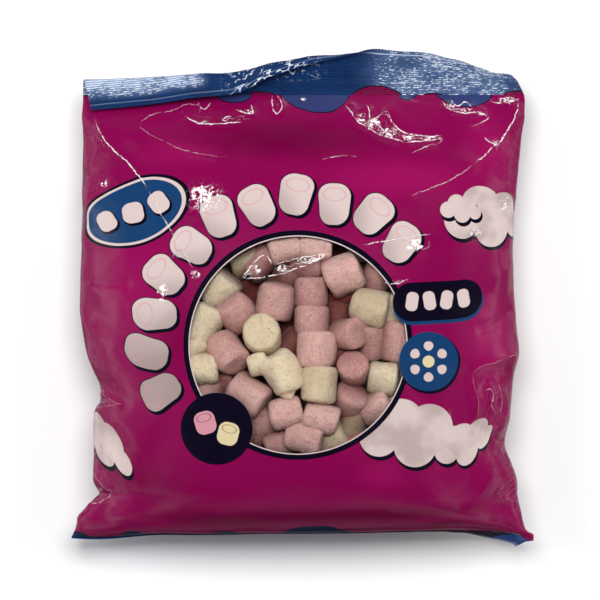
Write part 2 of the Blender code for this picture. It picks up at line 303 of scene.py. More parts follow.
# %% The room
BY_HEIGHT = [(0.0, 0.38), (0.10, 0.80), (0.35, 0.80), (0.55, 0.34), (0.72, 0.07), (0.86, 0.07)]
BY_HEIGHT += [(1.0, 0.20)]
BY_SIDE = [(0.0, 0.20), (0.25, 0.30), (0.60, 1.0)]
BY_PATCH = [(0.40, 0.25), (0.60, 1.9)]
room = Finish("studio", bpy.data.worlds.new("studio"))
direction = room.node("ShaderNodeTexCoord")
sideways, _, upwards = room.parts(direction)
level_part = upwards.maths("MINIMUM", upwards, 0.0)
for operation in ("ARCSINE", "COSINE"):
    level_part = level_part.maths(operation, level_part)
patches = room.cloud(direction, 1 / 2.6, 1.0)
glow = None
for wire, stops in ((upwards, BY_HEIGHT), (abs(sideways) / level_part, BY_SIDE), (patches, BY_PATCH)):
    greys = {"stops": [(at, (grey, grey, grey)) for at, grey in stops]}
    ramp = room.node("ShaderNodeValToRGB", greys, (wire,))
    if glow:
        times = {"data_type": "RGBA", "blend_type": "MULTIPLY"}
        ramp = room.node("ShaderNodeMix", times, {0: 1.0, 6: glow, 7: ramp}, 2)
    glow = ramp
background = room.node("ShaderNodeBackground", None, {"Color": glow})
scene.world = room.show(background, "ShaderNodeOutputWorld")
print("nodes in the room", len(room.tree.nodes))

# %% [markdown]
# ## The floor
# A plain pale sheet of paper, wide enough to fill every view. Its grain is two scales of noise,
# too faint to notice, which keep it from looking like an empty background.

# %% The floor
paper = Finish("pale paper")
place = paper.node("ShaderNodeTexCoord", out="Object")
grain = paper.cloud(place, 0.8 * MM, 3.0)
tone = paper.coat((0.86, 0.86, 0.87), (0.90, 0.90, 0.90), paper.cloud(place, 300 * MM))
fibres = paper.bump(grain, 0.02 * MM)
paper.show(paper.solid({"Base Color": tone, "Roughness": 0.9, "Normal": fibres}))
REACH = 3.0
corners = [(-REACH, -REACH, 0), (REACH, -REACH, 0), (REACH, REACH, 0), (-REACH, REACH, 0)]
floor = piece("floor", corners, [(0, 1, 2, 3)], paper.material)
floor.visible_glossy = False  # so that the film's lower edges don't mirror a white floor
floor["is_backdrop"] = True
print("floor", 2 * REACH, "m wide")

# %% [markdown]
# ## The shape that the film starts from
# A pillow bag is a flat tube of film, shut at both ends. Full, it is narrowest where it is
# fattest, its side folds crumple in a few places, and its sealed ends stay wide and flat. The
# outline and the profiles below are curves through a few points, in millimetres from the bag's
# middle. They place the film roughly, and the simulation then finds its true wrinkles.


# %% Curves through a few points
def smooth(points, at):
    """A curve through points that rises and falls only where they do (monotone cubic)."""
    x, y = np.array(points, float).T
    at = np.clip(np.asarray(at, float), x[0], x[-1])
    step, slope = np.diff(x), np.diff(y) / np.diff(x)
    tangent = np.concatenate([[slope[0]], (slope[1:] + slope[:-1]) / 2, [slope[-1]]])
    turn = np.concatenate([[1.0], slope[1:] * slope[:-1], [1.0]])
    steep = np.abs(slope)
    limit = 3 * np.minimum(np.append(steep[0], steep), np.append(steep, steep[-1]))
    tangent = np.where(turn > 0, np.clip(tangent, -limit, limit), 0.0)
    i = np.clip(np.searchsorted(x, at) - 1, 0, len(step) - 1)
    t = (at - x[i]) / step[i]
    start = y[i] * (1 + 2 * t) * (1 - t) ** 2 + step[i] * tangent[i] * t * (1 - t) ** 2
    return start + y[i + 1] * t**2 * (3 - 2 * t) + step[i] * tangent[i + 1] * t**2 * (t - 1)


def ease(low, high, value):
    """0 below low, 1 above high, and a soft step between."""
    t = np.clip((np.asarray(value, float) - low) / (high - low), 0, 1)
    return t * t * (3 - 2 * t)


LEFT_FOLD = [
    (-97.6, 93.4), (-94, 91.9), (-91.5, 91.0), (-88.7, 90.3), (-87.2, 88.9), (-81.8, 84.0),
    (-79.1, 81.7), (-76.9, 83.1), (-73.2, 84.4), (-64, 84.4), (-48, 84.2), (-44.7, 83.3), (-42.4, 81.7),
    (-37.9, 81.3), (-28.8, 84.9), (-22.4, 87.2), (-8, 89.5), (0, 89.9), (30, 89.1), (82, 88.7),
]
RIGHT_FOLD = [
    (-98.5, 93.7), (-96.2, 93.9), (-94.8, 91.3), (-91.5, 89.6), (-88.3, 88.7), (-82.3, 87.3),
    (-74.1, 86.9), (-67.8, 85.0), (-58.7, 82.1), (-47.9, 84.1), (-31.5, 85.9), (-22.4, 87.8),
    (-8, 86.5), (2, 85.9), (21, 85.5), (38, 86.3), (54, 87.9), (70, 89.5), (80, 90.3), (82, 90.0),
]
CROWN = [
    (-95.5, 44.0), (-80, 50.0), (-45, 52.0), (-15, 49.5), (25, 41.0), (50, 32.5), (68, 24.5),
    (82, 18.2),
]
FOLD_LEVEL = [(-95.5, 20.0), (-40, 19.5), (20, 18.0), (82, 18.0)]
BACK = [(-95.5, -2.0), (25, -3.0), (45, 0.0), (65, 8.5), (82, 17.8)]
BASE_DEPTH = 24  # how far up the bag the blunt base takes to reach full height


def section(y):
    """(fold level, crown, lowest line) of the bag's cross-section at y, in mm."""
    near = np.clip((y - BOTTOM_MM) / BASE_DEPTH, 0, 1)
    end = (1 - (1 - near) ** 2.6) ** (1 / 2.6)
    level = smooth(FOLD_LEVEL, y)
    return level, level + (smooth(CROWN, y) - level) * end, level - (level - smooth(BACK, y)) * end


def half_width(side, y):
    """How far the side fold is from the middle, on the side that the sign of side gives."""
    return np.where(np.asarray(side) < 0, smooth(LEFT_FOLD, y), smooth(RIGHT_FOLD, y))


BOTTOM_MM, TOP_MM = (BOTTOM - MIDDLE[1]) / MM, (TOP - MIDDLE[1]) / MM
print("seals start at", round(BOTTOM_MM, 1), "and", round(TOP_MM, 1), "mm from the middle")

# %% [markdown]
# ## A grid of film
# The tube is a grid: rows run round it and columns run up it. Each point knows its place on the
# flat film, before the bag was made and filled. Those flat places do two jobs. They are the
# lengths that the simulation holds the film to, and the print is drawn on them, so that it bends
# and creases with the film. The grid's first column is at the left fold, and the flat sheet's two
# long edges meet at the middle of the back, where the real bag has its seam.

# %% A grid of film
COLUMNS, ROWS = 84, 92  # squares across the front (and again across the back), and up the bag
FLAT_WIDTH, FLAT_HEIGHT = 191 * MM, 206 * MM
RING = 2 * COLUMNS


def evenly(x, z, count):
    """Where along 0 to 1 a curve's points lie so that they are equally far apart."""
    length = np.append(0, np.cumsum(np.hypot(np.diff(x), np.diff(z))))
    return np.interp(np.linspace(0, length[-1], count), length, np.linspace(0, 1, len(x)))


def film_side(dome, height):
    """One side of the bag as (rows, columns, 3), in mm. dome(across) is its cross-section's
    shape, and height(section) is which line of the section it reaches."""
    fine = np.linspace(BOTTOM_MM, TOP_MM, 1500)
    rows = fine[0] + (TOP_MM - BOTTOM_MM) * evenly(fine, height(section(fine)), ROWS + 1)
    straight = np.linspace(BOTTOM_MM, TOP_MM, ROWS + 1)
    side = np.zeros((ROWS + 1, COLUMNS + 1, 3))
    spread = np.sin(np.linspace(-0.5, 0.5, 400) * math.pi)
    for j, y in enumerate(rows):
        level, reach = section(y)[0], height(section(y))
        z = level + (reach - level) * dome(spread)
        across = np.interp(evenly(spread * half_width(spread, y), z, COLUMNS + 1),
                           np.linspace(0, 1, 400), spread)
        at = straight[j] + (y - straight[j]) * (1 - np.abs(across) ** 3)
        level, reach = section(at)[0], height(section(at))
        side[j] = np.stack([across * half_width(across, at), at, level + (reach - level) * dome(across)], 1)
    return side


front = film_side(lambda a: (1 - np.abs(a) ** 2.3) ** (1 / 1.9), lambda s: s[1])
back = film_side(lambda a: (1 - np.abs(a) ** 2.6) ** (1 / 1.8), lambda s: s[2])
back[..., 2] = np.maximum(back[..., 2], 1.0)
grid = np.concatenate([front, back[:, -2:0:-1]], axis=1)  # round the tube from the left fold


def joint(x):
    """Height of the line where the top seal starts: the stiff seal isn't quite flat, in mm."""
    wave = 0.9 * np.sin((x + 30) / 17) * ease(-70, 0, x) - 0.7 * np.cos((x - 5) / 9) * ease(0, 40, x)
    return 18.0 + wave * ease(0, 14, 88 - np.abs(x))


# The ends' lines aren't quite straight: the lower one bows, and hangs a little at the left.
FOOT = [(-93, -1.8), (-82, -2.4), (-68, -1.2), (-55, -0.2), (-47, -0.7), (-39, -0.3), (-33, -0.6)]
FOOT += [(-20, 0), (20, 0.2), (53, 0.9), (80, 0.7), (84, -0.4), (87.5, -2.4), (91, -3.2), (93, -2.8)]
up_bag = np.linspace(0, 1, ROWS + 1)[:, None]
grid[..., 1] += smooth(FOOT, grid[..., 0]) * (1 - up_bag) ** 6
grid[0, :, 2] = section(BOTTOM_MM)[0]
grid[-1, :, 2] = joint(grid[-1, :, 0])
start_shape = grid * MM + CENTRE



def flat_grid():
    """Where each point of the grid lies on the flat film."""
    column = np.arange(RING)
    places = np.zeros((ROWS + 1, RING, 3))
    round_tube = np.where(column > 1.5 * COLUMNS, column - RING, column) / COLUMNS - 0.5
    places[..., 0] = round_tube * FLAT_WIDTH
    places[..., 1] = np.linspace(0, FLAT_HEIGHT, ROWS + 1)[:, None]
    return places


def from_above(values):
    """(right, up) of a grid's points from the bag's middle, in mm."""
    return (values[..., 0] - MIDDLE[0]) / MM, (values[..., 1] - MIDDLE[1]) / MM


flat_places = flat_grid()
print("film grid", RING, "x", ROWS + 1, "on a flat film", FLAT_WIDTH / MM, "x", FLAT_HEIGHT / MM, "mm")

# %% [markdown]
# ## Letting the film find its shape
# Film bends easily and hardly stretches, which no hand-made surface gets right. Blender's Cloth
# does it: its rest shape is the flat film, air pressure inside pushes it out, the two sealed ends
# are held, and a floor under it flattens the back. Where there is more film than the shape needs,
# it wrinkles as the real bag does. The simulation runs ten times larger, since its tolerances
# are meant for things about a metre across, and only its last frame is kept.

# %% Plumping the film
LARGER = 10
FRAMES = 30
REST_HEIGHT = 0.5 * MM  # the back seam lies under the film


def plumped(start, flat, faces):
    """Where the film's points settle, blown up from the start shape."""
    made = []

    def thing(name, points, faces):
        mesh = bpy.data.meshes.new(name)
        mesh.from_pydata(points.reshape(-1, 3).tolist(), [], faces)
        made.append(added(name, mesh))
        return made[-1]

    raised = np.array([0, 0, REST_HEIGHT * LARGER])
    table = thing("table", np.array(corners) * 0.5 + raised, [(0, 1, 2, 3)])
    table.modifiers.new("table", "COLLISION")
    table.collision.thickness_outer = 0.004
    table.collision.thickness_inner = 0.05

    film = thing("film in the making", start * LARGER, faces)
    film.shape_key_add(name="start")
    lying_flat = film.shape_key_add(name="lying flat")
    lying_flat.data.foreach_set("co", (flat.reshape(-1, 3) * LARGER).ravel())
    held = film.vertex_groups.new(name="held")
    ends = [*range(RING), *range(ROWS * RING, (ROWS + 1) * RING)]
    held.add(ends, 1.0, "REPLACE")
    cloth = film.modifiers.new("film", "CLOTH")
    settings = {
        "quality": 8,
        "mass": 0.02,
        "tension_stiffness": 40,
        "compression_stiffness": 40,
        "shear_stiffness": 20,
        "bending_stiffness": 0.05,
        "tension_damping": 10,
        "compression_damping": 10,
        "shear_damping": 10,
        "bending_damping": 0.5,
        "air_damping": 2,
        "vertex_group_mass": "held",
        "rest_shape_key": lying_flat,
        "use_pressure": True,
        "uniform_pressure_force": 1.0,
    }
    for name, value in settings.items():
        setattr(cloth.settings, name, value)
    cloth.settings.effector_weights.gravity = 0
    cloth.collision_settings.distance_min = 0.005
    cloth.point_cache.frame_start, cloth.point_cache.frame_end = 1, FRAMES
    for frame_number in range(1, FRAMES + 1):
        scene.frame_set(frame_number)
    settled = film.evaluated_get(bpy.context.evaluated_depsgraph_get()).data
    places = np.empty(len(settled.vertices) * 3)
    settled.vertices.foreach_get("co", places)
    scene.frame_set(1)
    for helper in made:
        bpy.data.objects.remove(helper)
    return places.reshape(start.shape) / LARGER


film_grid = start_shape
flat_start = flat_places.copy()
flat_start[:, COLUMNS + 1 :, 2] = -0.04 * MM
column = np.arange(RING)
folded = 0.5 - (column - COLUMNS) / COLUMNS
flat_start[..., 0] = np.where(column > COLUMNS, folded, column / COLUMNS - 0.5)
flat_start[..., 0] *= FLAT_WIDTH
film_grid = plumped(start_shape, flat_start, squares(ROWS + 1, RING, True))
print("film from", film_grid.min((0, 1)) / MM, "to", film_grid.max((0, 1)) / MM, "mm")

# %% [markdown]
# ## Finer film
# The settled grid is smoothed a little, and its squares are then halved, by a rule that keeps
# its points and curves smoothly between them.


# %% Finer film
def between(values, axis, closed):
    """Values halfway between neighbours along an axis, by a smooth rule of four points."""
    last = np.take(values, [-1], axis), np.take(values, [0], axis)
    if closed:
        padded = np.concatenate([last[0], values, last[1], np.take(values, [1], axis)], axis)
    else:
        before = 2 * np.take(values, [0], axis) - np.take(values, [1], axis)
        after = 2 * np.take(values, [-1], axis) - np.take(values, [-2], axis)
        padded = np.concatenate([before, values, after], axis)
    count = padded.shape[axis] - 3
    a, b, c, d = (np.take(padded, np.arange(k, k + count), axis) for k in range(4))
    return (9 * (b + c) - a - d) / 16


def finer(values):
    """Halves the squares of a grid that is closed round its second axis."""
    rows, ring = values.shape[:2]
    wider = np.zeros((rows, 2 * ring, 3))
    wider[:, 0::2], wider[:, 1::2] = values, between(values, 1, True)
    taller = np.zeros((2 * rows - 1, 2 * ring, 3))
    taller[0::2], taller[1::2] = wider, between(wider, 0, False)
    return taller


def normals_of(values):
    """Outward directions of a grid that is closed round its second axis."""
    out = np.cross(np.roll(values, -1, 1) - np.roll(values, 1, 1), np.gradient(values, axis=0))
    return out / np.maximum(np.linalg.norm(out, axis=2, keepdims=True), 1e-12)


# The simulation leaves ripples a square or two long, which real film is too stiff for.
for _ in range(4):
    above_it = (film_grid[2:] + film_grid[:-2]) / 2
    beside_it = (np.roll(film_grid, 1, 1) + np.roll(film_grid, -1, 1))[1:-1] / 2
    film_grid[1:-1] += ((above_it + beside_it) / 2 - film_grid[1:-1]) * 0.5

# The base is held taut by the folded seal, so the ripples that run up from it are rubbed out.
low_x, low_y = from_above(film_grid)
taut = ease(-50, -72, low_y) * ease(1.0, 0.86, np.abs(low_x) / half_width(low_x, low_y)) * 0.5
for _ in range(10):
    beside_it = (np.roll(film_grid, 1, 1) + np.roll(film_grid, -1, 1)) / 2
    film_grid = film_grid + (beside_it - film_grid) * taut[..., None]

film_grid = finer(film_grid)
ROWS, COLUMNS, RING = 2 * ROWS, 2 * COLUMNS, 2 * RING
flat_places = flat_grid()
film_faces = squares(ROWS + 1, RING, True)
print("finer grid", film_grid.shape, "squares of", round(FLAT_WIDTH / COLUMNS / MM, 2), "mm")

# %% [markdown]
# Pressure rounds the bag's outline a little more than the sharp pinches in its sides allow, so
# the sides are drawn to their outline again. How far each point moves fades towards the middle.

# %% Drawing the sides to their outline
view_x, view_y = from_above(film_grid)
for side in (-1, 1):
    outermost = np.argmax(side * view_x, axis=1)
    rows_all = np.arange(ROWS + 1)
    at_y, at_x = view_y[rows_all, outermost], view_x[rows_all, outermost]
    order = np.argsort(at_y)
    now = np.interp(view_y, at_y[order], at_x[order])
    wanted = side * half_width(side, view_y)
    near = ease(0.55, 1.0, side * view_x / np.abs(now))
    film_grid[..., 0] += (wanted - now) * near * MM
    print("side", side, "moved by up to", round(float(np.abs((wanted - now) * near).max()), 2), "mm")
film_normals = normals_of(film_grid)

# %% [markdown]
# ## Creases
# Handling leaves thin ridges and dents, each a line of a few points in millimetres. The mesh gets
# their shape. A vertex attribute also keeps each point's distance to the nearest crease, so that
# the finish can draw their hair-thin crests much more finely than the mesh could, as fine relief
# and as painted near-white glints. Where the film has been handled most, at the sides and along
# the shoulder, it also gets broad facets, and the base gets wider ones.


# %% Creases

def curved(points, rounds=2):
    """Cuts a line's corners a few times over, which makes a curve of it."""
    points = np.array(points, float)
    for _ in range(rounds):
        a, b = points[:-1], points[1:]
        cuts = np.stack([0.75 * a + 0.25 * b, 0.25 * a + 0.75 * b], 1).reshape(-1, 2)
        points = np.concatenate([points[:1], cuts, points[-1:]])
    return points


def beside(x, y, points):
    """(signed distance, share of the way along) of places near a line through points."""
    nearest, share = np.full(x.shape, 1e3), np.zeros(x.shape)
    lengths = np.hypot(*np.diff(points, axis=0).T)
    walked = np.append(0, np.cumsum(lengths))
    for (ax, ay), (bx, by), length, before in zip(points, points[1:], lengths, walked):
        dx, dy = (bx - ax) / length, (by - ay) / length
        along = np.clip((x - ax) * dx + (y - ay) * dy, 0, length)
        away = np.hypot(x - ax - along * dx, y - ay - along * dy)
        side = np.where((x - ax) * dy - (y - ay) * dx < 0, -1.0, 1.0)
        closer = away < np.abs(nearest)
        nearest = np.where(closer, away * side, nearest)
        share = np.where(closer, (before + along) / walked[-1], share)
    return nearest, share


# Each crease: its points in mm, its height in mm (below 0 is a dent), how far it reaches to
# each side in mm, and how bright a glint is painted along its crest, which also scales the crest's fine
# relief.
CREASES = [
    # the long one that runs in from the upper left corner, and its faint end
    ([(-84, 72), (-82, 68), (-79, 62.5), (-75, 58), (-70.5, 54.5), (-65, 48), (-62, 43.5)], 0.8, 2.0, 1.0),
    ([(-62, 43.5), (-57, 34), (-50, 22), (-43.5, 11)], 0.4, 1.6, 0.6),
    # the one from the upper right corner, with its side branch
    ([(88, 79.5), (86.5, 73.5), (83, 67.5), (80, 62.5), (76, 60), (74, 57), (69.5, 54)], 0.8, 2.0, 1.0),
    ([(69.5, 54), (60.5, 47), (51, 43.5), (43.5, 40.5)], 0.4, 1.6, 0.5),
    ([(74, 64.5), (75.5, 62.5), (79, 61)], 0.3, 1.0, 0.9),
    # loops and small glints under the fold at the left
    (
        [(-42, 77), (-43.5, 78), (-46.5, 78), (-51, 75.5), (-56.5, 74.5), (-63, 73), (-65.5, 70.5)],
        *(0.4, 1.8, 0.4),
    ),
    (
        [(-65.5, 70.5), (-65.5, 68.5), (-62, 66), (-54.5, 62), (-46.5, 58.5), (-37, 57), (-30, 56.5)],
        *(0.5, 2.0, 0.35),
    ),
    ([(-47.5, 73.5), (-45.5, 71.5), (-42, 70), (-37, 69.5), (-30, 70), (-24, 71)], 0.7, 1.6, 1.0),
    ([(-42, 79), (-41, 76.5), (-38.5, 76), (-37, 79)], 0.3, 1.2, 0.7),
    ([(-32.5, 71.5), (-31, 72.5), (-29, 73)], 0.4, 1.0, 1.0),
    ([(-27, 76), (-22.5, 74), (-20, 73.5), (-19.5, 75), (-21, 78)], 0.4, 1.2, 1.0),
    ([(-12, 82), (-12.5, 78), (-10.5, 73), (-7.5, 76.5), (-9, 80.5), (-10.5, 82.5)], 0.5, 1.3, 0.9),
    # the crescent: its lower edge, its tail, and the scribble inside it
    ([(17.5, 78), (20, 74), (23, 70), (27, 68), (31.5, 65), (36.5, 63.5), (42, 62.5)], 1.0, 1.8, 1.0),
    ([(42, 62.5), (47.5, 62.5), (52, 63), (57, 63.5)], 0.8, 1.5, 1.0),
    ([(57, 63.5), (54.5, 61.5), (51, 61), (44.5, 58)], 0.3, 1.2, 0.6),
    ([(26, 78), (27.5, 75), (27, 72.5), (28, 71), (30, 72), (33, 74.5), (35, 75)], 0.4, 1.1, 1.0),
    ([(35, 75), (36, 71), (39, 68), (43.5, 66), (50, 65), (56.5, 65)], -0.5, 1.4, 1.0),
    ([(27, 71.5), (27.5, 67.5)], 0.2, 0.9, 0.9),
    ([(30.5, 70), (34, 66), (37, 64)], 0.2, 0.9, 0.9),
    # the second crescent, and the tucks in the right corner
    ([(56.5, 79.5), (58.5, 76.5), (62, 74.5), (66, 74), (71.5, 74.5), (75.5, 73)], 0.7, 1.5, 1.0),
    ([(75.5, 73), (76, 72), (72, 70), (68, 69)], 0.4, 1.2, 0.6),
    ([(60, 80), (61.5, 77.5), (64, 77), (66, 79.5), (69, 77)], 0.3, 1.0, 0.9),
    ([(76, 80.5), (77, 78.5), (81.5, 78), (88, 80.5)], 0.5, 1.3, 1.0),
    ([(80, 79.5), (83, 81), (86, 80)], 0.3, 1.0, 1.0),
    ([(8, 55.5), (15, 57), (22, 56.5)], 0.25, 1.2, 0.5),
    # in the window's film
    ([(-24, 7.5), (-21.5, 11), (-18, 15), (-15, 17.5), (-11.5, 13)], 0.35, 1.3, 1.0),
    ([(-11.5, 13), (-5, 14.5), (3, 16.5), (11.5, 17.5)], 0.35, 1.2, 1.0),
    ([(-24, 7.5), (-20, 7.5), (-11.5, 8.5), (-5, 10.5), (4, 14), (11.5, 17.5)], -0.3, 1.4, 1.0),
    ([(24, 21), (32, 22), (40, 23.5), (52, 25.5)], 0.2, 1.2, 1.0),
    ([(33, 6), (37, 5), (43, 7)], 0.2, 1.0, 0.9),
    # pinches in the sides
    ([(-87.5, -85.7), (-80.2, -82.4), (-76, -78.8)], 0.9, 1.7, 0.4),
    ([(-76, -78.8), (-76, -77.8), (-79.4, -77), (-83.4, -71.3)], 0.8, 1.6, 0.22),
    ([(-82.5, -80), (-79.5, -80.7), (-77, -79.3)], -1.3, 2.0, 0.0),
    ([(-81.3, -38.3), (-75.8, -42.4), (-71.3, -43.7)], 0.8, 1.7, 0.16),
    ([(-83.1, -45.1), (-78.6, -44.6), (-72.2, -42.8)], 0.7, 1.6, 0.2),
    ([(-82, -41.5), (-77, -43)], -0.9, 1.6, 0.0),
    ([(82.5, -59), (76, -55), (68, -50)], -1.0, 2.2, 0.0),
    ([(68.7, -30.6), (71.4, -27.9), (78.6, -26), (86.8, -22.4)], 0.8, 2.0, 0.2),
    ([(68.7, -30.6), (69.1, -36.9), (71, -40.5), (70, -49.6), (70.5, -56.9)], 0.7, 1.8, 0.12),
    ([(79.1, -32.4), (79.5, -36.9), (80.9, -40.5), (79.5, -47.8)], 0.7, 1.6, 0.16),
    ([(73.2, -37.8), (75.9, -36.5), (77.3, -38.7), (75.5, -43.3), (78.2, -47.8)], 0.5, 1.2, 0.28),
    ([(59.2, -45.1), (60.1, -52.3)], 0.3, 1.4, 0.15),
    ([(78.2, -79), (80.2, -81), (86.5, -83)], 0.6, 1.6, 0.1),
    ([(79.1, -78.6), (83.2, -75), (86.3, -72.3)], 0.4, 1.4, 0.15),
    ([(80.5, -82.2), (84.1, -78.6), (86.8, -76.8)], 0.3, 1.4, 0.1),
    ([(-89, 8), (-80, 5), (-68, 6)], -0.7, 2.0, 0.0),
    ([(86, -4), (78, -12), (70, -14)], -0.7, 2.0, 0.0),
    ([(87, 46), (80, 42), (72, 44)], 0.6, 1.8, 0.0),
    ([(-88, 64), (-82, 62), (-86, 52)], 0.6, 1.8, 0.0),
]
view_x, view_y = from_above(film_grid)
facing = ease(0.05, 0.35, film_normals[..., 2])
inland = facing * ease(0, 1.5, TOP_MM - view_y) * ease(0, 3, view_y - BOTTOM_MM)
crest_away = np.full(view_x.shape, 9.0)
crest_bright = np.zeros(view_x.shape)
lift = np.zeros(view_x.shape)
for points, height, reach, bright in CREASES:
    away, share = beside(view_x, view_y, curved(points))
    fade = ease(0, 0.12, share) * ease(0, 0.12, 1 - share) * inland
    lift += height * fade * np.exp(-((np.abs(away) / reach) ** 1.4))
    nearer = np.abs(away) < np.abs(crest_away)
    crest_away = np.where(nearer, away, crest_away)
    crest_bright = np.where(nearer, bright * fade * ease(2.4, 1.4, np.abs(away)), crest_bright)


def facets(x, y, size, seed):
    """Crumpled film: a few folded waves in different directions, which meet in flat facets."""
    draw = np.random.default_rng(seed)
    x, y = x + 3 * np.sin(y / 13 + 1), y + 3 * np.sin(x / 11 + 2)
    total = np.zeros(x.shape)
    for _ in range(5):
        way, shift, longer = draw.uniform(0, math.pi), draw.random(), draw.uniform(0.7, 1.5)
        total += np.abs(2 * ((x * math.cos(way) + y * math.sin(way)) / (size * longer) + shift) % 2 - 1)
    return total / 5 - 0.5


handled = 0.12 + 0.88 * ease(52, 78, np.abs(view_x)) * ease(-99, -88, view_y) * ease(83, 72, view_y)
handled = np.maximum(handled, 0.35 * ease(52, 66, view_y) * ease(83, 76, view_y))
handled = handled * ease(0, 3, view_y - BOTTOM_MM) * ease(0, 3, TOP_MM - view_y)
handled = handled * (0.35 + 0.65 * ease(0.05, 0.4, np.abs(film_normals[..., 2])))
flat_mm = flat_places / MM
lift = lift + 2.6 * handled * facets(flat_mm[..., 0], flat_mm[..., 1], 24, 5)
lower = ease(-52, -70, view_y) * ease(BOTTOM_MM, BOTTOM_MM + 8, view_y)
lift = lift + 1.2 * lower * facets(flat_mm[..., 0], flat_mm[..., 1], 40, 8)
film_grid = film_grid + film_normals * (lift * MM)[..., None]

# Where the film is crumpled: middle in mm, reach along x and y in mm, and how strongly. The finish
# gives these places leaning facets and a net of fine cracks, and paints near-white glints where they are
# most crumpled.
CRUMPLED = [
    (24, 72.5, 3, 4, 0.85), (29, 70, 4, 3.5, 1.0), (36, 66.5, 5, 3, 1.0), (43, 64.5, 5, 2.2, 1.0),
    (50, 63.8, 5, 1.6, 1.0), (34, 73, 2.5, 3, 0.75), (60, 77, 3.5, 3, 0.8), (66, 75.5, 6, 1.8, 0.85),
    (73, 74, 4, 1.5, 0.8), (83, 79.5, 6, 2.2, 1.0), (78, 62, 3, 2.5, 0.8), (-40, 71, 5, 1.6, 0.75),
    (-21, 75, 4, 2, 0.8), (-10, 78, 2.5, 3, 0.6), (0, 80, 4, 2, 0.7), (-39, 40, 10, 8, 1.0),
    (-56, 2, 4, 7, 0.85), (82, 38, 5, 6, 0.8), (-80, 46, 3, 2.5, 0.9), (-43, 9, 4, 3, 0.8),
    (-50, 17, 6, 3, 0.7), (46, 21, 7, 3.5, 1.0), (70, 26, 5, 4, 0.85), (-19, 11, 5, 3.5, 0.8),
    (-8, 11.5, 5, 2.0, 1.0), (2, 14.5, 6, 1.6, 1.0), (38, 6, 4, 2, 0.7), (-84, 55, 9, 30, 0.5),
    (86, 50, 9, 34, 0.5), (-82, -45, 14, 44, 0.5), (77, -42, 10, 20, 0.5), (82, -60, 14, 34, 0.45),
    (0, -92, 90, 5, 0.15),
]
crumple = np.zeros(view_x.shape)
for x, y, reach_x, reach_y, amount in CRUMPLED:
    near = np.exp(-(((view_x - x) / reach_x) ** 2) - ((view_y - y) / reach_y) ** 2)
    crumple = np.maximum(crumple, amount * near)
crumple = np.where(film_normals[..., 2] > 0, crumple, 0.35)
crease_values = np.stack([crest_away, crest_bright, crumple], axis=2)
print(len(CREASES), "creases, lifting the film by up to", round(float(lift.max()), 2), "mm")

# %% [markdown]
# ## The film as a mesh, and places on it
# The film becomes a mesh with two attributes: where each point was on the flat film, and what
# the creases do there. Anything printed is placed by where it is seen from above. A ray dropped
# onto the film finds the spot, and gives both its height and its place on the flat film. In the
# middle of the front, flat places are simply how far right and up the film is, so that round
# shapes stay round there. Towards the folds and seals they become the true places on the film.

# %% The film as a mesh
film_points = film_grid.reshape(-1, 3)
film_tree = BVHTree.FromPolygons(film_points.tolist(), film_faces)
seen = np.stack([view_x, view_y, np.zeros(view_x.shape)], axis=2)
from_middle = np.hypot(view_x - WINDOW_MM[0], view_y - WINDOW_MM[1])
at_window = np.unravel_index(np.argmin(from_middle + 500 * (film_normals[..., 2] < 0)), view_x.shape)
seen += flat_mm[at_window] - seen[at_window]
sideways = np.maximum(ease(58, 84, np.abs(view_x)), ease(0.5, 0.2, film_normals[..., 2]))
lengthways = np.maximum(ease(45, 80, view_y), ease(-78, -93, view_y))
own_share = np.maximum(sideways, lengthways)[..., None]
flat_points = (seen + (flat_mm - seen) * own_share).reshape(-1, 3)


def spot(x, y):
    """(height, flat place in mm) of the film at a place in mm from the bag's middle."""
    above = Vector((MIDDLE[0] + x * MM, MIDDLE[1] + y * MM, 1))
    hit, _, face, _ = film_tree.ray_cast(above, Vector((0, 0, -1)))
    corners_hit = list(film_faces[face])
    weights = np.array(poly_3d_calc([film_points[i] for i in corners_hit], hit))
    return hit.z, weights @ flat_points[corners_hit, :2]


def roof_over(x, y):
    """Height in mm of the film over a place in mm from the bag's middle."""
    above = Vector((MIDDLE[0] + x * MM, MIDDLE[1] + y * MM, 1))
    hit = film_tree.ray_cast(above, Vector((0, 0, -1)))[0]
    return (hit.z if hit else 0.0) / MM


WINDOW_FLAT = spot(*WINDOW_MM)[1]
RIM = WINDOW_RADIUS / MM
print("window at", WINDOW_FLAT, "on the flat film, radius", round(RIM, 2), "mm")

# %% [markdown]
# ## The print
# The film is printed in a few flat inks: a magenta ground, a blue top with a wavy edge like
# dripping syrup, a dark ring round the window, and plain shapes drawn in pale ink with a dark
# edge underneath. Each shape is a formula for the distance to its outline, below 0 inside it,
# worked out on the flat film in millimetres. Painting is then a matter of laying inks over each
# other where the distance is below 0. The outlines stay sharp however near the camera comes, and
# they bend with the film because the flat places were stored with the mesh.

# %% Shapes for the print
PALE, NAVY, BLUE = ink("#c2b0ad"), ink("#0b0718"), ink("#12365f")
PALE_TONE_AND_SHADE = ink("#8d7b79")
MAGENTA, DRIP_BLUE = ink("#7c0647"), ink("#2c3562")
BLUSH, CREAM = ink("#bf8490"), ink("#c9ba94")


def length_of(u, v):
    return (u * u + v * v) ** 0.5


def least(a, b):
    return a.maths("MINIMUM", a, b)


def most(a, b):
    return a.maths("MAXIMUM", a, b)


def turned(place, centre, degrees=0.0):
    """A place seen from a shape's own middle, along the shape's own axes."""
    c, s = math.cos(math.radians(degrees)), math.sin(math.radians(degrees))
    u, v = place[0] - float(centre[0]), place[1] - float(centre[1])
    return (u * c + v * s, v * c - u * s) if degrees else (u, v)


def disc(place, centre, radius):
    return length_of(*turned(place, centre)) - radius


def oval(place, centre, wide, high, degrees):
    u, v = turned(place, centre, degrees)
    return (length_of(u / wide, v / high) - 1) * min(wide, high)


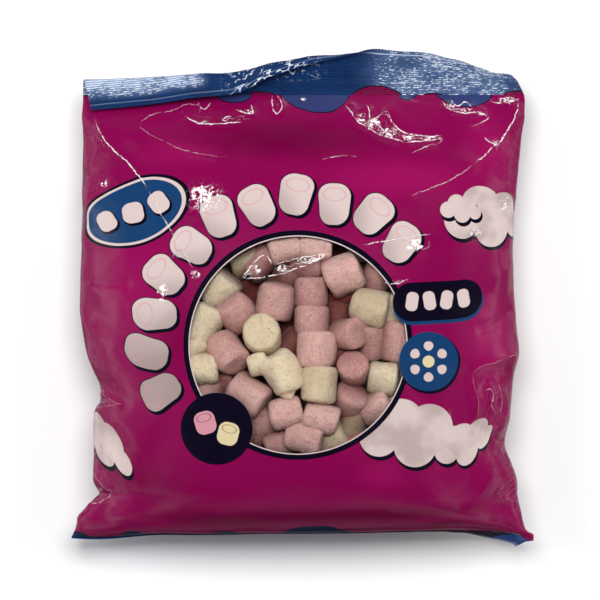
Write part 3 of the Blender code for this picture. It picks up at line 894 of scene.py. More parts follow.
def block(place, centre, wide, high, rounding, degrees=0.0):
    """A rectangle with rounded corners."""
    u, v = turned(place, centre, degrees)
    u, v = abs(u) - (wide / 2 - rounding), abs(v) - (high / 2 - rounding)
    return length_of(most(u, 0.0), most(v, 0.0)) - rounding


def angle_of(u, v):
    """The angle round the middle, in degrees."""
    return u.maths("ARCTAN2", v, u) * (180 / math.pi)


def wrapped(value, whole):
    """What is left of a value after as many wholes as fit in it."""
    return value.maths("FLOORED_MODULO", value, whole)


def puff(place, centre, discs, size=1.0):
    """A soft cloud: discs run together."""
    u, v = turned(place, centre)
    edge = None
    for x, y, radius in discs:
        outline = disc((u, v), (x * size, y * size), radius * size)
        edge = least(edge, outline) if edge else outline
    return edge


def inside(edge, grow=0.0, soft=0.10):
    """1 within a shape and 0 outside it. grow makes the shape larger by that many mm."""
    return edge.finish.step(edge, grow + soft, grow - soft)


# %% [markdown]
# The row of rounded blocks runs in an arc over the window. One formula draws them all: the angle
# round the window says which block a place belongs to and how far it is from that block's middle,
# and every second block tilts the other way.

# %% The printed artwork
ARC_RADIUS, ARC_START, ARC_STEP, ARC_BLOCKS = 59.5, 37.0, 15.4, 10


def block_arc(place, slide=(0.0, 0.0)):
    """The arc of marshmallow shapes round the window."""
    u, v = turned(place, WINDOW_FLAT + np.array(slide))
    angle = wrapped(angle_of(u, v) - ARC_START + 360, 360.0)
    number = angle.maths("FLOOR", angle / ARC_STEP)
    odd = wrapped(number, 2.0) * 2 - 1
    along = (angle - (number + 0.5) * ARC_STEP) * (ARC_RADIUS * math.pi / 180)
    out = length_of(u, v) - ARC_RADIUS - odd * 1.1
    c, s = math.cos(math.radians(13)), math.sin(math.radians(13))
    tilted = along * c + out * odd * s, out * c - along * odd * s
    edge = block(tilted, (0, 0), 12.8, 17.0, 5.2)
    too_far = number.maths("GREATER_THAN", number, ARC_BLOCKS + 0.5)
    return edge + too_far * 50, tilted


# The edge of the blue top: points of (mm from the middle, mm above the seal's start).
DRIPS = [
    (-95, -0.6), (-65.6, -0.6), (-64.6, -5.6), (-61.8, -5.6), (-60.8, -0.6), (-37, 0.0), (-33, -2.6),
    (-27, -3.6), (-21.5, -1.2), (-17.5, 1.6), (-13, 1.4), (-7, -3.0), (0, -7.4), (8, -9.0),
    (14.5, -6.0), (18, -1.5), (22, 2.6), (27.5, 4.0), (34, 2.6), (37.5, 0.8), (42, -2.2), (46.5, 0.4),
    (50, 1.0), (55, -1.2), (60, -5.0), (65, -6.0), (71, -4.4), (76, -0.5), (80, 2.0), (95, 2.2),
]
# The same for the blue bottom: points of (mm from the middle, mm above the seal's start).
FOOT_DRIPS = [
    (-95, 2.4), (-85, 2.6), (-82, 0.8), (-70, 0.8), (-68, 4.2), (-64, 4.4), (-61, 1.5), (-36, 2.0),
    (-31, 9.4), (-27, 9.4), (-22, 4.0), (-11, 5.0), (-5, 11.5), (3, 15.6), (9, 16.0), (14, 13.0),
    (20, 7.0), (28, 3.0), (50, 0.0), (95, -1.0),
]


def drip_line(u, points, low, high):
    """A wavy line's height at u, drawn through points whose heights are from low to high."""
    shares = [(0.5 + x / 179, (y - low) / (high - low)) for x, y in points]
    sockets = {"Value": u / (FLAT_WIDTH / MM) + 0.5}
    line = u.finish.node("ShaderNodeFloatCurve", {"curve": shares}, sockets)
    return line * (high - low) + low


def above_drips(u, v):
    """Distance to the edge of the blue top, below 0 above the edge."""
    return drip_line(u, DRIPS, -12.0, 8.0) - v


# Soft blots of painted light and painted shade on the magenta, with their reach in mm.
PAINTED_SHADE_INK, PAINTED_LIGHT_INK = ink("#58002c"), ink("#981258")
PAINTED_LIGHT_AND_SHADE = [
    (-8, 64, 62, 15, PAINTED_SHADE_INK, 0.75),
    (-54, -12, 12, 30, PAINTED_SHADE_INK, 0.35),
    (56, -91.5, 13, 4, PAINTED_SHADE_INK, 0.8),
    (24, -93.5, 24, 2.5, PAINTED_SHADE_INK, 0.9),
    (-36, -90, 46, 8, PAINTED_SHADE_INK, 0.5),
    (-62, -76, 34, 18, PAINTED_SHADE_INK, 0.4),
    (20, -88, 90, 9, PAINTED_SHADE_INK, 0.7),
    (40, 48, 45, 12, PAINTED_LIGHT_INK, 0.5),
    (76, 60, 16, 26, PAINTED_LIGHT_INK, 0.45),
    (-66, 8, 22, 40, PAINTED_LIGHT_INK, 0.35),
    (-50, 58, 22, 10, PAINTED_LIGHT_INK, 0.3),
    (76, -20, 14, 30, PAINTED_LIGHT_INK, 0.4),
    (32, -72, 14, 9, PAINTED_LIGHT_INK, 0.35),
]


def artwork(finish):
    """(colour of the print, and where it is opaque over the window)."""
    flat, *place = finish.stored("flat")
    paint = finish.coat
    colour = paint(MAGENTA, ink("#750440"), finish.cloud(flat, 40, 2.0))

    def lay(*coats):
        """Lays inks over what is there. Each has a tint, a shape and how far the shape grows."""
        nonlocal colour
        for tint, edge, grow in coats:
            colour = paint(colour, tint, inside(edge, grow))

    # Painted light and shade: soft blots that lighten or darken the magenta ground.
    for x, y, wide, high, tint, amount in PAINTED_LIGHT_AND_SHADE:
        middle = spot(x, y)[1]
        u, v = turned(place, middle)
        painted_blot = finish.step(length_of(u / wide, v / high), 1.0, 0.1)
        colour = paint(colour, tint, painted_blot * amount)

    # Blue top and bottom, with their wavy edges.
    top_edge = above_drips(place[0], place[1] - FLAT_HEIGHT / MM)
    lay((NAVY, top_edge, 0.45), (DRIP_BLUE, top_edge, -0.1))
    foot_edge = place[1] - drip_line(place[0], FOOT_DRIPS, -2.0, 18.0)
    lay((NAVY, foot_edge, 0.4), (ink("#081a40"), foot_edge, -0.1))

    # Clouds of marshmallow fluff.
    discs = [(-9, 0, 5.5), (-3, 4, 6.5), (5, 2.5, 6.5), (10.5, -1.5, 4.5), (1, -2.5, 6)]
    fluff = paint(PALE, PALE_TONE_AND_SHADE, finish.step(finish.cloud(flat, 13.0, 2.0), 0.40, 0.66) * 0.5)
    for x, y, size in ((76, 31, 1.4), (64, 35, 0.6), (44, -56, 1.45), (66, -60, 0.95), (-81, -58, 1.1)):
        middle = spot(x, y)[1]
        lay((NAVY, puff(place, middle + (0.5, -1.3), discs, size), 0.3))
        lay((fluff, puff(place, middle, discs, size), 0.0))

    # The window's rings, and the arc of blocks round it.
    ring = disc(place, WINDOW_FLAT, RIM)
    shadow, _ = block_arc(place, (0.9, -0.9))
    blocks, within = block_arc(place)
    lay((NAVY, ring, 2.5), (PALE, ring, 0.45), (NAVY, shadow, 0.35), (NAVY, blocks, 0.25))
    # Each block is darker towards its lower right, and the blocks at the far left are painted in shade.
    shaded = paint(PALE, PALE_TONE_AND_SHADE, finish.step(within[1] - within[0], 3.0, -11.0) * 0.55)
    far_left = finish.step(length_of(*turned(place, spot(-64, -42)[1])), 46.0, 14.0)
    shaded = paint(shaded, PALE_TONE_AND_SHADE, far_left * 0.8)
    lay((shaded, blocks, -0.1))
    end = oval(within, (0, 4.0), 4.3, 2.7, 0)
    colour = paint(colour, BLUSH, inside(abs(end), 0.22) * inside(blocks, -0.5) * 0.55)

    # The oval badge at the upper left.
    middle = spot(-68, 34)[1]
    badge = oval(place, middle, 21.5, 12.5, 22)
    lay((NAVY, badge, 1.3), (PALE, badge, 0.2), (BLUE, badge, -0.8))
    for step, tilt in ((-10.5, 12), (0, -10), (10.5, 14)):
        way = math.radians(22)
        at = middle + (step * math.cos(way), step * math.sin(way))
        lay((NAVY, block(place, at + (0.6, -0.6), 7.6, 8.8, 3, 22 + tilt), 0.5))
        lay((PALE, block(place, at, 7.6, 8.8, 3, 22 + tilt), 0.0))

    # The three labels that overlap the window: a navy disc, a navy capsule and a blue disc.
    middle = spot(-34.2, -52.8)[1]
    navy_disc = disc(place, middle, 14.5)
    lay((NAVY, navy_disc, 0.0))
    for x, y, wide, high, tilt, tint in (
        (-4.6, 2.4, 8.4, 9.2, 16, BLUSH),
        (4.6, -2.0, 8.4, 9.2, -14, CREAM),
    ):
        lay((tint, block(place, middle + (x, y), wide, high, 3.2, tilt), 0.0))
        face = oval(turned(place, middle + (x, y), tilt), (0, 2.0), 2.9, 1.6, 0)
        colour = paint(colour, NAVY, inside(abs(face), 0.16) * 0.5)

    middle = spot(54.7, -1.5)[1]
    capsule = block(place, middle, 36.5, 15.6, 7.6, 3)
    under = block(place, middle + (0.2, -1.1), 36.5, 15.6, 7.6, 3)
    lay((BLUE, under, 0.3), (NAVY, capsule, 0.0))
    for step, tilt in ((-10.5, -8), (-3.5, 10), (3.5, -10), (10.5, 8)):
        at = middle + (step, 0.2 + 0.05 * step)
        lay((PALE, block(place, at, 4.9, 7.6, 2.1, tilt), 0.0))

    middle = spot(50.8, -25.9)[1]
    blue_disc = disc(place, middle, 11.9)
    lay((NAVY, disc(place, middle + (0.5, -0.7), 11.9), 0.4), (BLUE, blue_disc, 0.0))
    u, v = turned(place, middle)
    angle = wrapped(angle_of(u, v) + 360, 60.0) - 30
    petal = length_of(length_of(u, v) - 6.2, angle * (6.2 * math.pi / 180)) - 1.9
    lay((PALE, petal, 0.0), (CREAM, disc(place, middle, 2.4), 0.0))

    labels = least(least(navy_disc, blue_disc), least(capsule, under - 0.3))
    return colour, inside(labels)


print("inks", len({PALE, PALE_TONE_AND_SHADE, NAVY, BLUE, MAGENTA, DRIP_BLUE, BLUSH, CREAM}))

# %% [markdown]
# ## The film's finish
# Plastic film is smooth, so it mirrors the lights in hard-edged streaks, and its colour lies
# under that gloss. What makes it read as film is the relief: facets where it has been handled, a
# net of fine cracks where it is crumpled, and hair-thin crests along the creases. The facets are
# cells that each lean their own way, added to the surface's direction. The rest are heights fed
# to Bump nodes. Near-white is also painted into the colour: along the crests, as glints and as ink
# that has turned white there, and on the cracks and scattered small cells where the film is most
# crumpled, as glints. The window is the same film without ink, so its shader lets most light
# through and mirrors the rest, and its painted glints are a pale diffuse shader.


# %% Film finishes
def film_relief(finish):
    """(normal of the film's small relief, and where near-white glints are painted, with ink turned white at
    the crests).
    """
    flat = finish.stored("flat")[0]
    _, away, bright, crumpled = finish.stored("crease")

    wobble = (finish.cloud(flat, 1.6, 3.0) - 0.5) * 0.9 + (finish.cloud(flat, 5.0, 2.0) - 0.5) * 1.4
    away = away + wobble
    crest = finish.step(abs(away), bright * 0.24 + 0.12, 0.05) * bright
    broken = finish.step(finish.cloud(flat, 2.6, 3.0, 0.6), 0.36, 0.50)
    faded = finish.step(finish.cloud(flat, 11.0, 2.0), 0.34, 0.50)
    crest = crest * broken * (faded * 0.7 + 0.3)

    warp = finish.cloud(flat, 7.0, 2.0, out=1)
    warped = finish.vector("ADD", flat, finish.scaled(warp, 3.0))
    sockets = {"Vector": warped, "Scale": 1 / 3.4, "Randomness": 1.0}
    crack = finish.node("ShaderNodeTexVoronoi", {"feature": "DISTANCE_TO_EDGE"}, sockets)
    net = finish.step(crack, 0.13, 0.02) * finish.step(crumpled, 0.15, 0.8)
    glint_cells = finish.node("ShaderNodeTexVoronoi", None, {"Vector": warped, "Scale": 1 / 1.1}, 1)
    glint_cells = finish.step(finish.parts(glint_cells)[0] * crumpled, 0.56, 0.66)
    swells = finish.cloud(warped, 9.0, 1.0)
    small = finish.cloud(flat, 0.9, 2.0)
    handled = finish.step(crumpled, 0.0, 0.5)
    bent = finish.cloud(flat, 22.0, 1.0, out=1)
    bent = finish.vector("ADD", flat, finish.scaled(bent, 9.0))
    sockets = {"Vector": bent, "Scale": 1 / 12.0, "Smoothness": 0.12}
    planes = finish.node("ShaderNodeTexVoronoi", {"feature": "SMOOTH_F1"}, sockets, 1)
    planes = finish.vector("SUBTRACT", planes, (0.5, 0.5, 0.5))
    lean = handled * 0.30 + 0.03
    planes = finish.scaled(planes, lean)
    normal = finish.node("ShaderNodeNewGeometry", None, (), 1)
    normal = finish.vector("NORMALIZE", finish.vector("ADD", normal, planes))

    normal = finish.bump(swells, 0.10 * MM, normal)
    normal = finish.bump(net, 0.20 * MM, normal)
    normal = finish.bump(crest, 0.30 * MM, normal)
    normal = finish.bump(small, 0.003 * MM, normal)
    # Near-white painted glints: the crests, crack lines where the film is most crumpled, and scattered
    # cells.
    sparkle = finish.step(finish.cloud(flat, 1.1, 2.0), 0.42, 0.56)
    lines = net * finish.step(crumpled, 0.45, 0.9) * sparkle
    return normal, most(crest, most(lines, glint_cells) * 0.9)


def printed_film():
    finish = Finish("printed film")
    colour, _ = artwork(finish)
    normal, glints_and_whitening = film_relief(finish)
    # Painted glints in near-white, with the ink that has turned white along the crests.
    colour = finish.coat(colour, ink("#fbeef3"), glints_and_whitening)
    flat = finish.stored("flat")[0]
    rough = finish.cloud(flat, 14.0, 3.0) * 0.10 + 0.13
    sockets = {"Base Color": colour, "Roughness": rough, "IOR": 1.38, "Normal": normal}
    return finish.show(finish.solid(sockets))


def clear_film():
    finish = Finish("clear film")
    colour, labels = artwork(finish)
    normal, glints_and_whitening = film_relief(finish)
    sockets = {"Base Color": colour, "Roughness": 0.2, "IOR": 1.42, "Normal": normal}
    printed = finish.solid(sockets)
    clear = finish.node("ShaderNodeBsdfTransparent", None, {"Color": (0.97, 0.96, 0.95, 1)})
    gloss = finish.node("ShaderNodeBsdfGlossy", None, {"Roughness": 0.10, "Normal": normal})
    fresnel = finish.node("ShaderNodeFresnel", None, {"IOR": 1.42, "Normal": normal})
    sheet = finish.node("ShaderNodeMixShader", None, (fresnel, clear, gloss))
    # The window's painted glints: a pale diffuse shader mixed in where they are.
    white = finish.node("ShaderNodeBsdfDiffuse", None, {"Color": (0.9, 0.86, 0.86, 1)})
    sheet = finish.node("ShaderNodeMixShader", None, (glints_and_whitening * 0.9, sheet, white))
    return finish.show(finish.node("ShaderNodeMixShader", None, (labels, sheet, printed)))


PRINTED, CLEAR = printed_film(), clear_film()
print("nodes in the printed film", len(PRINTED.node_tree.nodes))

# %% [markdown]
# ## Cutting out the window
# Pouch and window are one film on the real bag: only the ink stops at the window's edge. They
# are two pieces here because the frame has a part for each. The cut follows a true circle on the
# flat film: each mesh edge that crosses the circle gets a point exactly on it, and the new points
# are joined across the faces between them.

# %% Cutting out the window
whole = bmesh.new()
flat_layer = whole.verts.layers.float_vector.new("flat")
crease_layer = whole.verts.layers.float_vector.new("crease")
for co, flat_co, marks in zip(film_points, flat_points, crease_values.reshape(-1, 3)):
    vertex = whole.verts.new(co)
    vertex[flat_layer], vertex[crease_layer] = flat_co, marks
whole.verts.ensure_lookup_table()
for face in film_faces:
    whole.faces.new([whole.verts[i] for i in face]).smooth = True


def from_window(vertex):
    """How far a point of the film is outside the window's edge, in mm on the flat film."""
    return (vertex[flat_layer].xy - Vector(WINDOW_FLAT)).length - RIM


on_edge = []
for edge in list(whole.edges):
    start, end = edge.verts
    before, after = from_window(start), from_window(end)
    if before * after < 0 and max(abs(before), abs(after)) < 5:
        on_edge.append(bmesh.utils.edge_split(edge, start, before / (before - after))[1])
bmesh.ops.connect_verts(whole, verts=on_edge)


def part_of_film(name, finish, wanted):
    """The faces of the film that are wanted, as an object."""
    kept = whole.copy()
    layer = kept.verts.layers.float_vector["flat"]
    window = Vector(WINDOW_FLAT)

    def outside(face):
        middle = sum((v[layer].xy for v in face.verts), Vector((0, 0))) / len(face.verts)
        return (middle - window).length > RIM

    unwanted = [face for face in kept.faces if outside(face) != wanted]
    bmesh.ops.delete(kept, geom=unwanted, context="FACES")
    mesh = bpy.data.meshes.new(name)
    kept.to_mesh(mesh)
    kept.free()
    mesh.materials.append(finish)
    return added(name, mesh)


film = part_of_film("printed_pouch", PRINTED, True)
window = part_of_film("clear_window", CLEAR, False)
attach(film, "root")
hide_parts("pouch")
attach(window, "root")
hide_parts("window_film")
print("pouch", len(film.data.polygons), "faces, window", len(window.data.polygons))

# %% [markdown]
# ## Marshmallows
# A mini marshmallow is cut from a soft rope and dusted with starch: a short cylinder with
# rounded rims, never quite round, with a few dents and pores. Each one starts as a ball of even
# squares whose points are pushed out to a rounded cylinder's surface, then gets an oval section,
# lumps and fine dents of its own. The ones seen through the window are placed one by one. Each is
# lifted until it meets the film from below, and where it would come through, it is pressed flat,
# as the soft sweets are.


# %% The shape of a marshmallow
def ball(squares):
    """Directions spread evenly over a ball, and the faces between them."""
    made = bmesh.new()
    bmesh.ops.create_cube(made, size=2)
    bmesh.ops.subdivide_edges(made, edges=made.edges[:], cuts=squares - 1, use_grid_fill=True)
    points = np.tan(np.array([v.co for v in made.verts]) * math.pi / 4)
    faces = [[v.index for v in face.verts] for face in made.faces]
    made.free()
    return points / np.linalg.norm(points, axis=1, keepdims=True), faces


def lumps(points, size, seed):
    """Smooth noise between about -0.5 and 0.5 at each point, with lumps of a size."""
    offset = Vector((seed * 7.3, seed * 3.1, seed * 5.7))
    return np.array([noise.noise(Vector(p) / size + offset) for p in points])


def marshmallow(directions, diameter, length, azimuth, elevation, seed, rim=7.0):
    """Points of one marshmallow in mm round its own middle. Its axis has an azimuth, and an
    elevation of 0 where it lies on its side and 90 where it stands on its end."""
    draw = np.random.default_rng(seed)
    squash = draw.uniform(0.94, 1.06)
    bulge, taper = draw.uniform(-0.03, 0.06), draw.uniform(-0.06, 0.06)
    across = np.hypot(directions[:, 0], directions[:, 1]) / (diameter / 2)
    along = np.abs(directions[:, 2]) / (length / 2)
    points = directions * ((across**rim + along**rim) ** (-1 / rim))[:, None]
    z = points[:, 2] / (length / 2)
    wide = (1 + bulge * (1 - z**2) + taper * z)[:, None]
    points = points * np.hstack([wide * squash, wide / squash, np.ones_like(wide)])
    dents = 1.1 * lumps(points, 8.0, seed) + 0.22 * lumps(points, 2.4, seed)
    dents = dents + 0.14 * lumps(points, 1.0, seed)
    points = points + directions * (dents * 0.8)[:, None]
    roll = draw.uniform(0, 2 * math.pi)
    a, e = math.radians(azimuth), math.radians(elevation)
    axis = np.array([math.cos(e) * math.cos(a), math.cos(e) * math.sin(a), math.sin(e)])
    side = np.array([-math.sin(a), math.cos(a), 0])
    over = np.cross(axis, side)
    first = math.cos(roll) * side + math.sin(roll) * over
    return points @ np.stack([first, np.cross(axis, first), axis])


# %% [markdown]
# Every row below is one marshmallow: where it is in the window (right and up, in mm), the
# azimuth and elevation of its axis, its diameter and length, and how deep it lies under the film.

# %% The heap in the window
PINK_ONES = [
    (5.3, 21.1, 90, 0, 13.0, 12.5, 1.6),
    (5.6, 9.6, 90, 0, 13.8, 12.5, 1.0),
    (7.6, -1.9, 90, 0, 14.6, 14.3, 0.1),
    (18.4, 28.2, 25, 5, 16.0, 15.0, 0.0),
    (-9.1, 17.5, 80, 10, 14.6, 14.5, 0.3),
    (-24.7, 12.9, 130, 25, 13.5, 14.0, 0.6),
    (-28.3, -3.4, -50, 35, 14.0, 15.0, 0.0),
    (-19.6, -20.2, -35, 15, 15.0, 16.0, 1.8),
    (-4.6, -27.4, 15, 0, 12.5, 13.5, 0.5),
    (9.4, -29.6, -15, 0, 12.0, 14.0, 0.8),
    (2.5, -37.1, -12, 5, 12.0, 15.0, 1.0),
    (20.0, -22.9, 60, 45, 14.0, 14.0, 2.4),
    (22.4, -9.6, 100, 65, 12.5, 12.0, 1.0),
    (20.4, 4.3, 5, 50, 13.5, 12.5, 0.5),
    (29.4, 1.2, 90, 10, 12.5, 14.0, 2.8),
    (39.3, 1.2, 85, 0, 14.0, 17.0, 1.5),
    (31.2, -25.4, 30, 10, 13.0, 14.0, 2.0),
    (-30.4, -14.9, 20, 20, 13.0, 13.0, 4.0),
    (-36.6, -18.9, 60, 0, 13.0, 13.0, 3.0),
    (32.8, 27.3, 70, 10, 13.0, 14.0, 2.0),
    (-5.0, 38.4, 15, 0, 13.0, 14.0, 1.5),
    (7.1, 39.7, 0, 0, 13.0, 14.0, 1.0),
    (4.3, 31.0, 20, 20, 13.0, 13.0, 2.4),
    (-15.6, 32.9, 40, 0, 13.0, 13.0, 3.0),
    (-5.0, 25.4, 60, 10, 12.5, 12.5, 3.8),
    (-3.2, -0.6, 40, 0, 12.5, 12.5, 4.5),
    (-13.0, -31.6, 50, 20, 13.0, 13.0, 3.2),
    (-6.9, -39.7, 20, 0, 13.0, 13.0, 3.0),
    (-16.8, -35.3, 70, 30, 12.0, 12.0, 3.4),
    (17.9, 18.6, 10, 0, 13.0, 13.0, 4.8),
    (16.0, 11.0, 80, 0, 12.5, 12.5, 4.6),
    (14.2, -5.6, 30, 0, 12.5, 12.5, 4.4),
    (-18.0, -5.5, 20, 0, 12.5, 12.5, 5.0),
    (45.0, -8.0, 70, 0, 13.0, 13.0, 2.5),
    (-44.0, 12.0, 40, 0, 13.0, 13.0, 2.0),
    (12.0, 46.0, 30, 0, 13.0, 13.0, 2.0),
    (22.0, -42.0, 20, 0, 13.0, 13.0, 2.5),
    (-30.0, -34.0, 20, 0, 13.0, 13.0, 2.5),
]
WHITE_ONES = [
    (-14.5, 4.0, 120, 78, 15.2, 13.0, 0.0),
    (8.3, -16.1, 85, 0, 14.5, 14.5, 0.0),
    (29.0, 14.9, -15, 10, 15.0, 15.0, 0.0),
    (34.3, -13.6, -8, 5, 13.5, 12.0, 0.9),
    (-31.4, 22.3, 50, 20, 14.0, 14.0, 1.5),
    (-37.6, 8.0, 60, 10, 13.5, 16.0, 1.0),
    (-41.3, -0.6, 30, 0, 8.5, 9.0, 0.8),
    (-37.9, -9.6, 0, 5, 13.0, 12.5, 0.4),
    (39.9, 13.6, 80, 0, 13.0, 13.0, 1.5),
    (14.2, -37.8, 30, 20, 12.5, 13.0, 2.6),
    (21.6, -32.2, 70, 0, 12.0, 13.0, 3.8),
    (-21.0, 34.0, 20, 0, 13.0, 13.0, 3.2),
    (-26.0, 40.0, 50, 0, 13.0, 13.0, 2.2),
    (40.0, -24.0, 50, 0, 13.0, 13.0, 2.4),
    (26.0, 40.0, 10, 0, 13.0, 13.0, 2.4),
]
# One white sweet was squeezed out of shape: a bulb, a body and a tail that run into each other.
SQUEEZED = [
    (-16.2, -7.8, 20, 0, 8.4, 8.2, 0.5),
    (-11.8, -8.8, 10, 0, 7.0, 6.0, 1.2),
    (-7.0, -9.2, 125, 10, 15.0, 13.0, 0.1),
    (-5.0, -12.8, 110, 0, 12.5, 12.0, 0.3),
    (-4.2, -18.0, 85, 0, 5.0, 7.5, 1.8),
]
# How light some of them are, from 0 to 1. The others' tints are drawn at random.
TINTS = {
    (5.3, 21.1): 0.2, (5.6, 9.6): 0.4, (7.6, -1.9): 0.8, (18.4, 28.2): 0.8, (-9.1, 17.5): 0.55,
    (-24.7, 12.9): 0.3, (-28.3, -3.4): 0.35, (-19.6, -20.2): 0.75, (-4.6, -27.4): 0.8,
    (9.4, -29.6): 0.85, (2.5, -37.1): 0.6, (20.0, -22.9): 0.5, (22.4, -9.6): 0.1, (20.4, 4.3): 0.25,
    (39.3, 1.2): 0.4, (8.3, -16.1): 0.5, (-14.5, 4.0): 0.6, (29.0, 14.9): 0.2, (34.3, -13.6): 0.8,
}


def under_film(points, x, y, sink):
    """Places a marshmallow so that it lies sink mm under the film, flattened against it. Also gives how
    deep each point lies, from 0 to 1, which the finish paints as shade.
    """
    placed = points + np.array([*(WINDOW_MM + (x, y)), 0.0])
    roof = np.array([roof_over(px, py) for px, py in placed[:, :2]])
    deeper = 1.7 * sink + 0.9 * max(sink - 2.2, 0)
    placed[:, 2] += np.min(roof - placed[:, 2]) - deeper + 0.5 * ease(1.0, 0, sink)
    placed[:, 2] = np.minimum(placed[:, 2], roof - 0.25)
    return placed, np.clip((roof - placed[:, 2] - 2.2) / 9.5, 0, 1)


def heap(rows, directions, faces, first_seed):
    """(points in metres, faces, tint and depth for each point) of many marshmallows."""
    points, joined, marks = [], [], []
    draw = np.random.default_rng(first_seed)
    for i, (x, y, azimuth, elevation, diameter, length, sink) in enumerate(rows):
        shape = marshmallow(directions, diameter, length, azimuth, elevation, first_seed + i)
        shape, depth = under_film(shape, x, y, sink)
        joined += [[len(points) * len(directions) + k for k in face] for face in faces]
        points.append(shape * MM + CENTRE)
        tint = np.full(len(directions), TINTS.get((x, y), draw.random()))
        marks.append(np.stack([tint, depth, np.zeros(len(directions))], axis=1))
    return np.concatenate(points), joined, np.concatenate(marks)


draw = np.random.default_rng(11)
hidden_pink, hidden_white = [], []
for row in range(-4, 5):
    for column in range(-4, 5):
        dx, dy, azimuth, elevation, kind, deeper = draw.random(6)
        x, y = (column + 0.5 * (row % 2)) * 12.0 + 4 * dx - 2, row * 10.4 + 4 * dy - 2
        if math.hypot(x, y) < 50:
            chosen = hidden_pink if kind < 0.62 else hidden_white
            chosen.append((x, y, azimuth * 360, elevation * 60, 13.0, 13.0, 6.0 + 1.5 * deeper))
print("in sight", len(PINK_ONES) + len(WHITE_ONES) + 1, "below", len(hidden_pink) + len(hidden_white))

# %% [markdown]
# The finish is matt and powdery. Light goes a little way into the foam, which softens its shadows:
# that is subsurface scattering. Starch shows as pale flecks, which fade on the sweets that lie
# deeper, as painted shade. The deeper a point lies under the film, the more its colour is painted
# the dark colour of the gaps, and the pores are painted darker too, as the shade in them. The
# relief is fine: pores, and shallow wrinkles where the skin was pressed.


# %% Marshmallow finishes
def marshmallow_finish(name, deep, light, painted_gap_shade, glow, dusty):
    finish = Finish(name)
    place = finish.node("ShaderNodeTexCoord", out="Object")
    _, tint, depth, _ = finish.stored("sweet")
    mottle = finish.cloud(place, 5 * MM, 4.0, 0.6)
    powder = finish.cloud(place, 0.6 * MM, 3.0, 0.7)
    colour = finish.coat(deep, light, mottle * 0.5 + tint * 0.8 - 0.1)
    dusted = finish.step(finish.cloud(place, 4.0 * MM, 2.0), 0.36, 0.62)
    # Pale starch flecks, faded as painted shade on the deeper sweets.
    grains = finish.step(powder, 0.50, 0.60) * (1 - depth) * (dusted * 0.32 + 0.08) * dusty
    colour = finish.coat(colour, ink("#f8eee6"), grains)
    pores = finish.cloud(place, 1.3 * MM, 3.0, 0.65)
    pits = finish.step(pores, 0.36, 0.46)
    # The pores are painted darker, as the shade in them.
    colour = finish.coat(deep, colour, pits * 0.4 + 0.6)
    # Painted shade: the deeper a point lies under the film, the more it takes the dark gap colour.
    colour = finish.coat(colour, painted_gap_shade, finish.step(depth, 0.0, 1.0) * 0.92)
    wrinkle = abs(finish.cloud(place, 3.2 * MM, 3.0, 0.55) - 0.5)
    wrinkle = finish.step(wrinkle, 0.0, 0.05)
    normal = finish.bump(wrinkle, 0.11 * MM)
    normal = finish.bump(pits, 0.10 * MM, normal)
    normal = finish.bump(powder, 0.13 * MM, normal)
    sockets = {
        "Base Color": colour,
        "Roughness": 0.92,
        "Specular IOR Level": 0.25,
        "Subsurface Weight": 0.10,
        "Subsurface Radius": glow,
        "Subsurface Scale": 0.003,
        "Sheen Weight": 0.15,
        "Sheen Roughness": 0.5,
        "Normal": normal,
    }
    return finish.show(finish.solid(sockets))


# Each has a deep and a light colour, a dark colour painted in the gaps as shade, how far light goes into
# it, and how dusty it is.
PINK = marshmallow_finish(
    "pink marshmallow", ink("#b9807d"), ink("#e8c1bb"), ink("#5a0f0a"), (1.0, 0.45, 0.4), 1.0
)
WHITE = marshmallow_finish(
    "white marshmallow", ink("#c4b395"), ink("#ede0c5"), ink("#5a3a28"), (1.0, 0.8, 0.55), 0.35
)


def dressed(made, marks):
    """Stores a piece of the heap's tints and depths, hangs it on the root and hides the frame's
    marshmallows.
    """
    stored_with(made, "sweet", marks)
    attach(made, "root")
    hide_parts("marshmallows")
    print(made.name, len(made.data.polygons), "faces")


fine_ball, coarse_ball = ball(18), ball(8)
for name, finish, shown, below, seed in (
    ("pink_marshmallows", PINK, PINK_ONES, hidden_pink, 100),
    ("white_marshmallows", WHITE, WHITE_ONES, hidden_white, 300),
):
    points, faces, marks = heap(shown, *fine_ball, seed)
    low_points, low_faces, low_marks = heap(below, *coarse_ball, seed + 100)
    faces += [[len(points) + k for k in face] for face in low_faces]
    made = piece(name, np.concatenate([points, low_points]), faces, finish)
    dressed(made, np.concatenate([marks, low_marks]))

# %% [markdown]
# The squeezed sweet is five lumps that overlap. A voxel remesh turns them into one skin, and
# smoothing draws the skin tight between them.

# %% The squeezed marshmallow
points, faces, _ = heap(SQUEEZED, *fine_ball, 360)
squeezed = piece("squeezed_marshmallow", points, faces, WHITE)
skin = squeezed.modifiers.new("one skin", "REMESH")
skin.mode, skin.voxel_size = "VOXEL", 0.5 * MM
tight = squeezed.modifiers.new("tight", "SMOOTH")
tight.factor, tight.iterations = 0.5, 14
whole_skin = squeezed.evaluated_get(bpy.context.evaluated_depsgraph_get())
squeezed.data = bpy.data.meshes.new_from_object(whole_skin)
squeezed.modifiers.clear()
squeezed.data.shade_smooth()
dressed(squeezed, np.tile([1.0, 0.0, 0.0], (len(squeezed.data.vertices), 1)))

# %% [markdown]
# Below the ones that can be seen, the heap goes on as one lumpy core. It only has to close the
# gaps between the upper sweets, and it is painted all over in the dark gap colour, as shade.

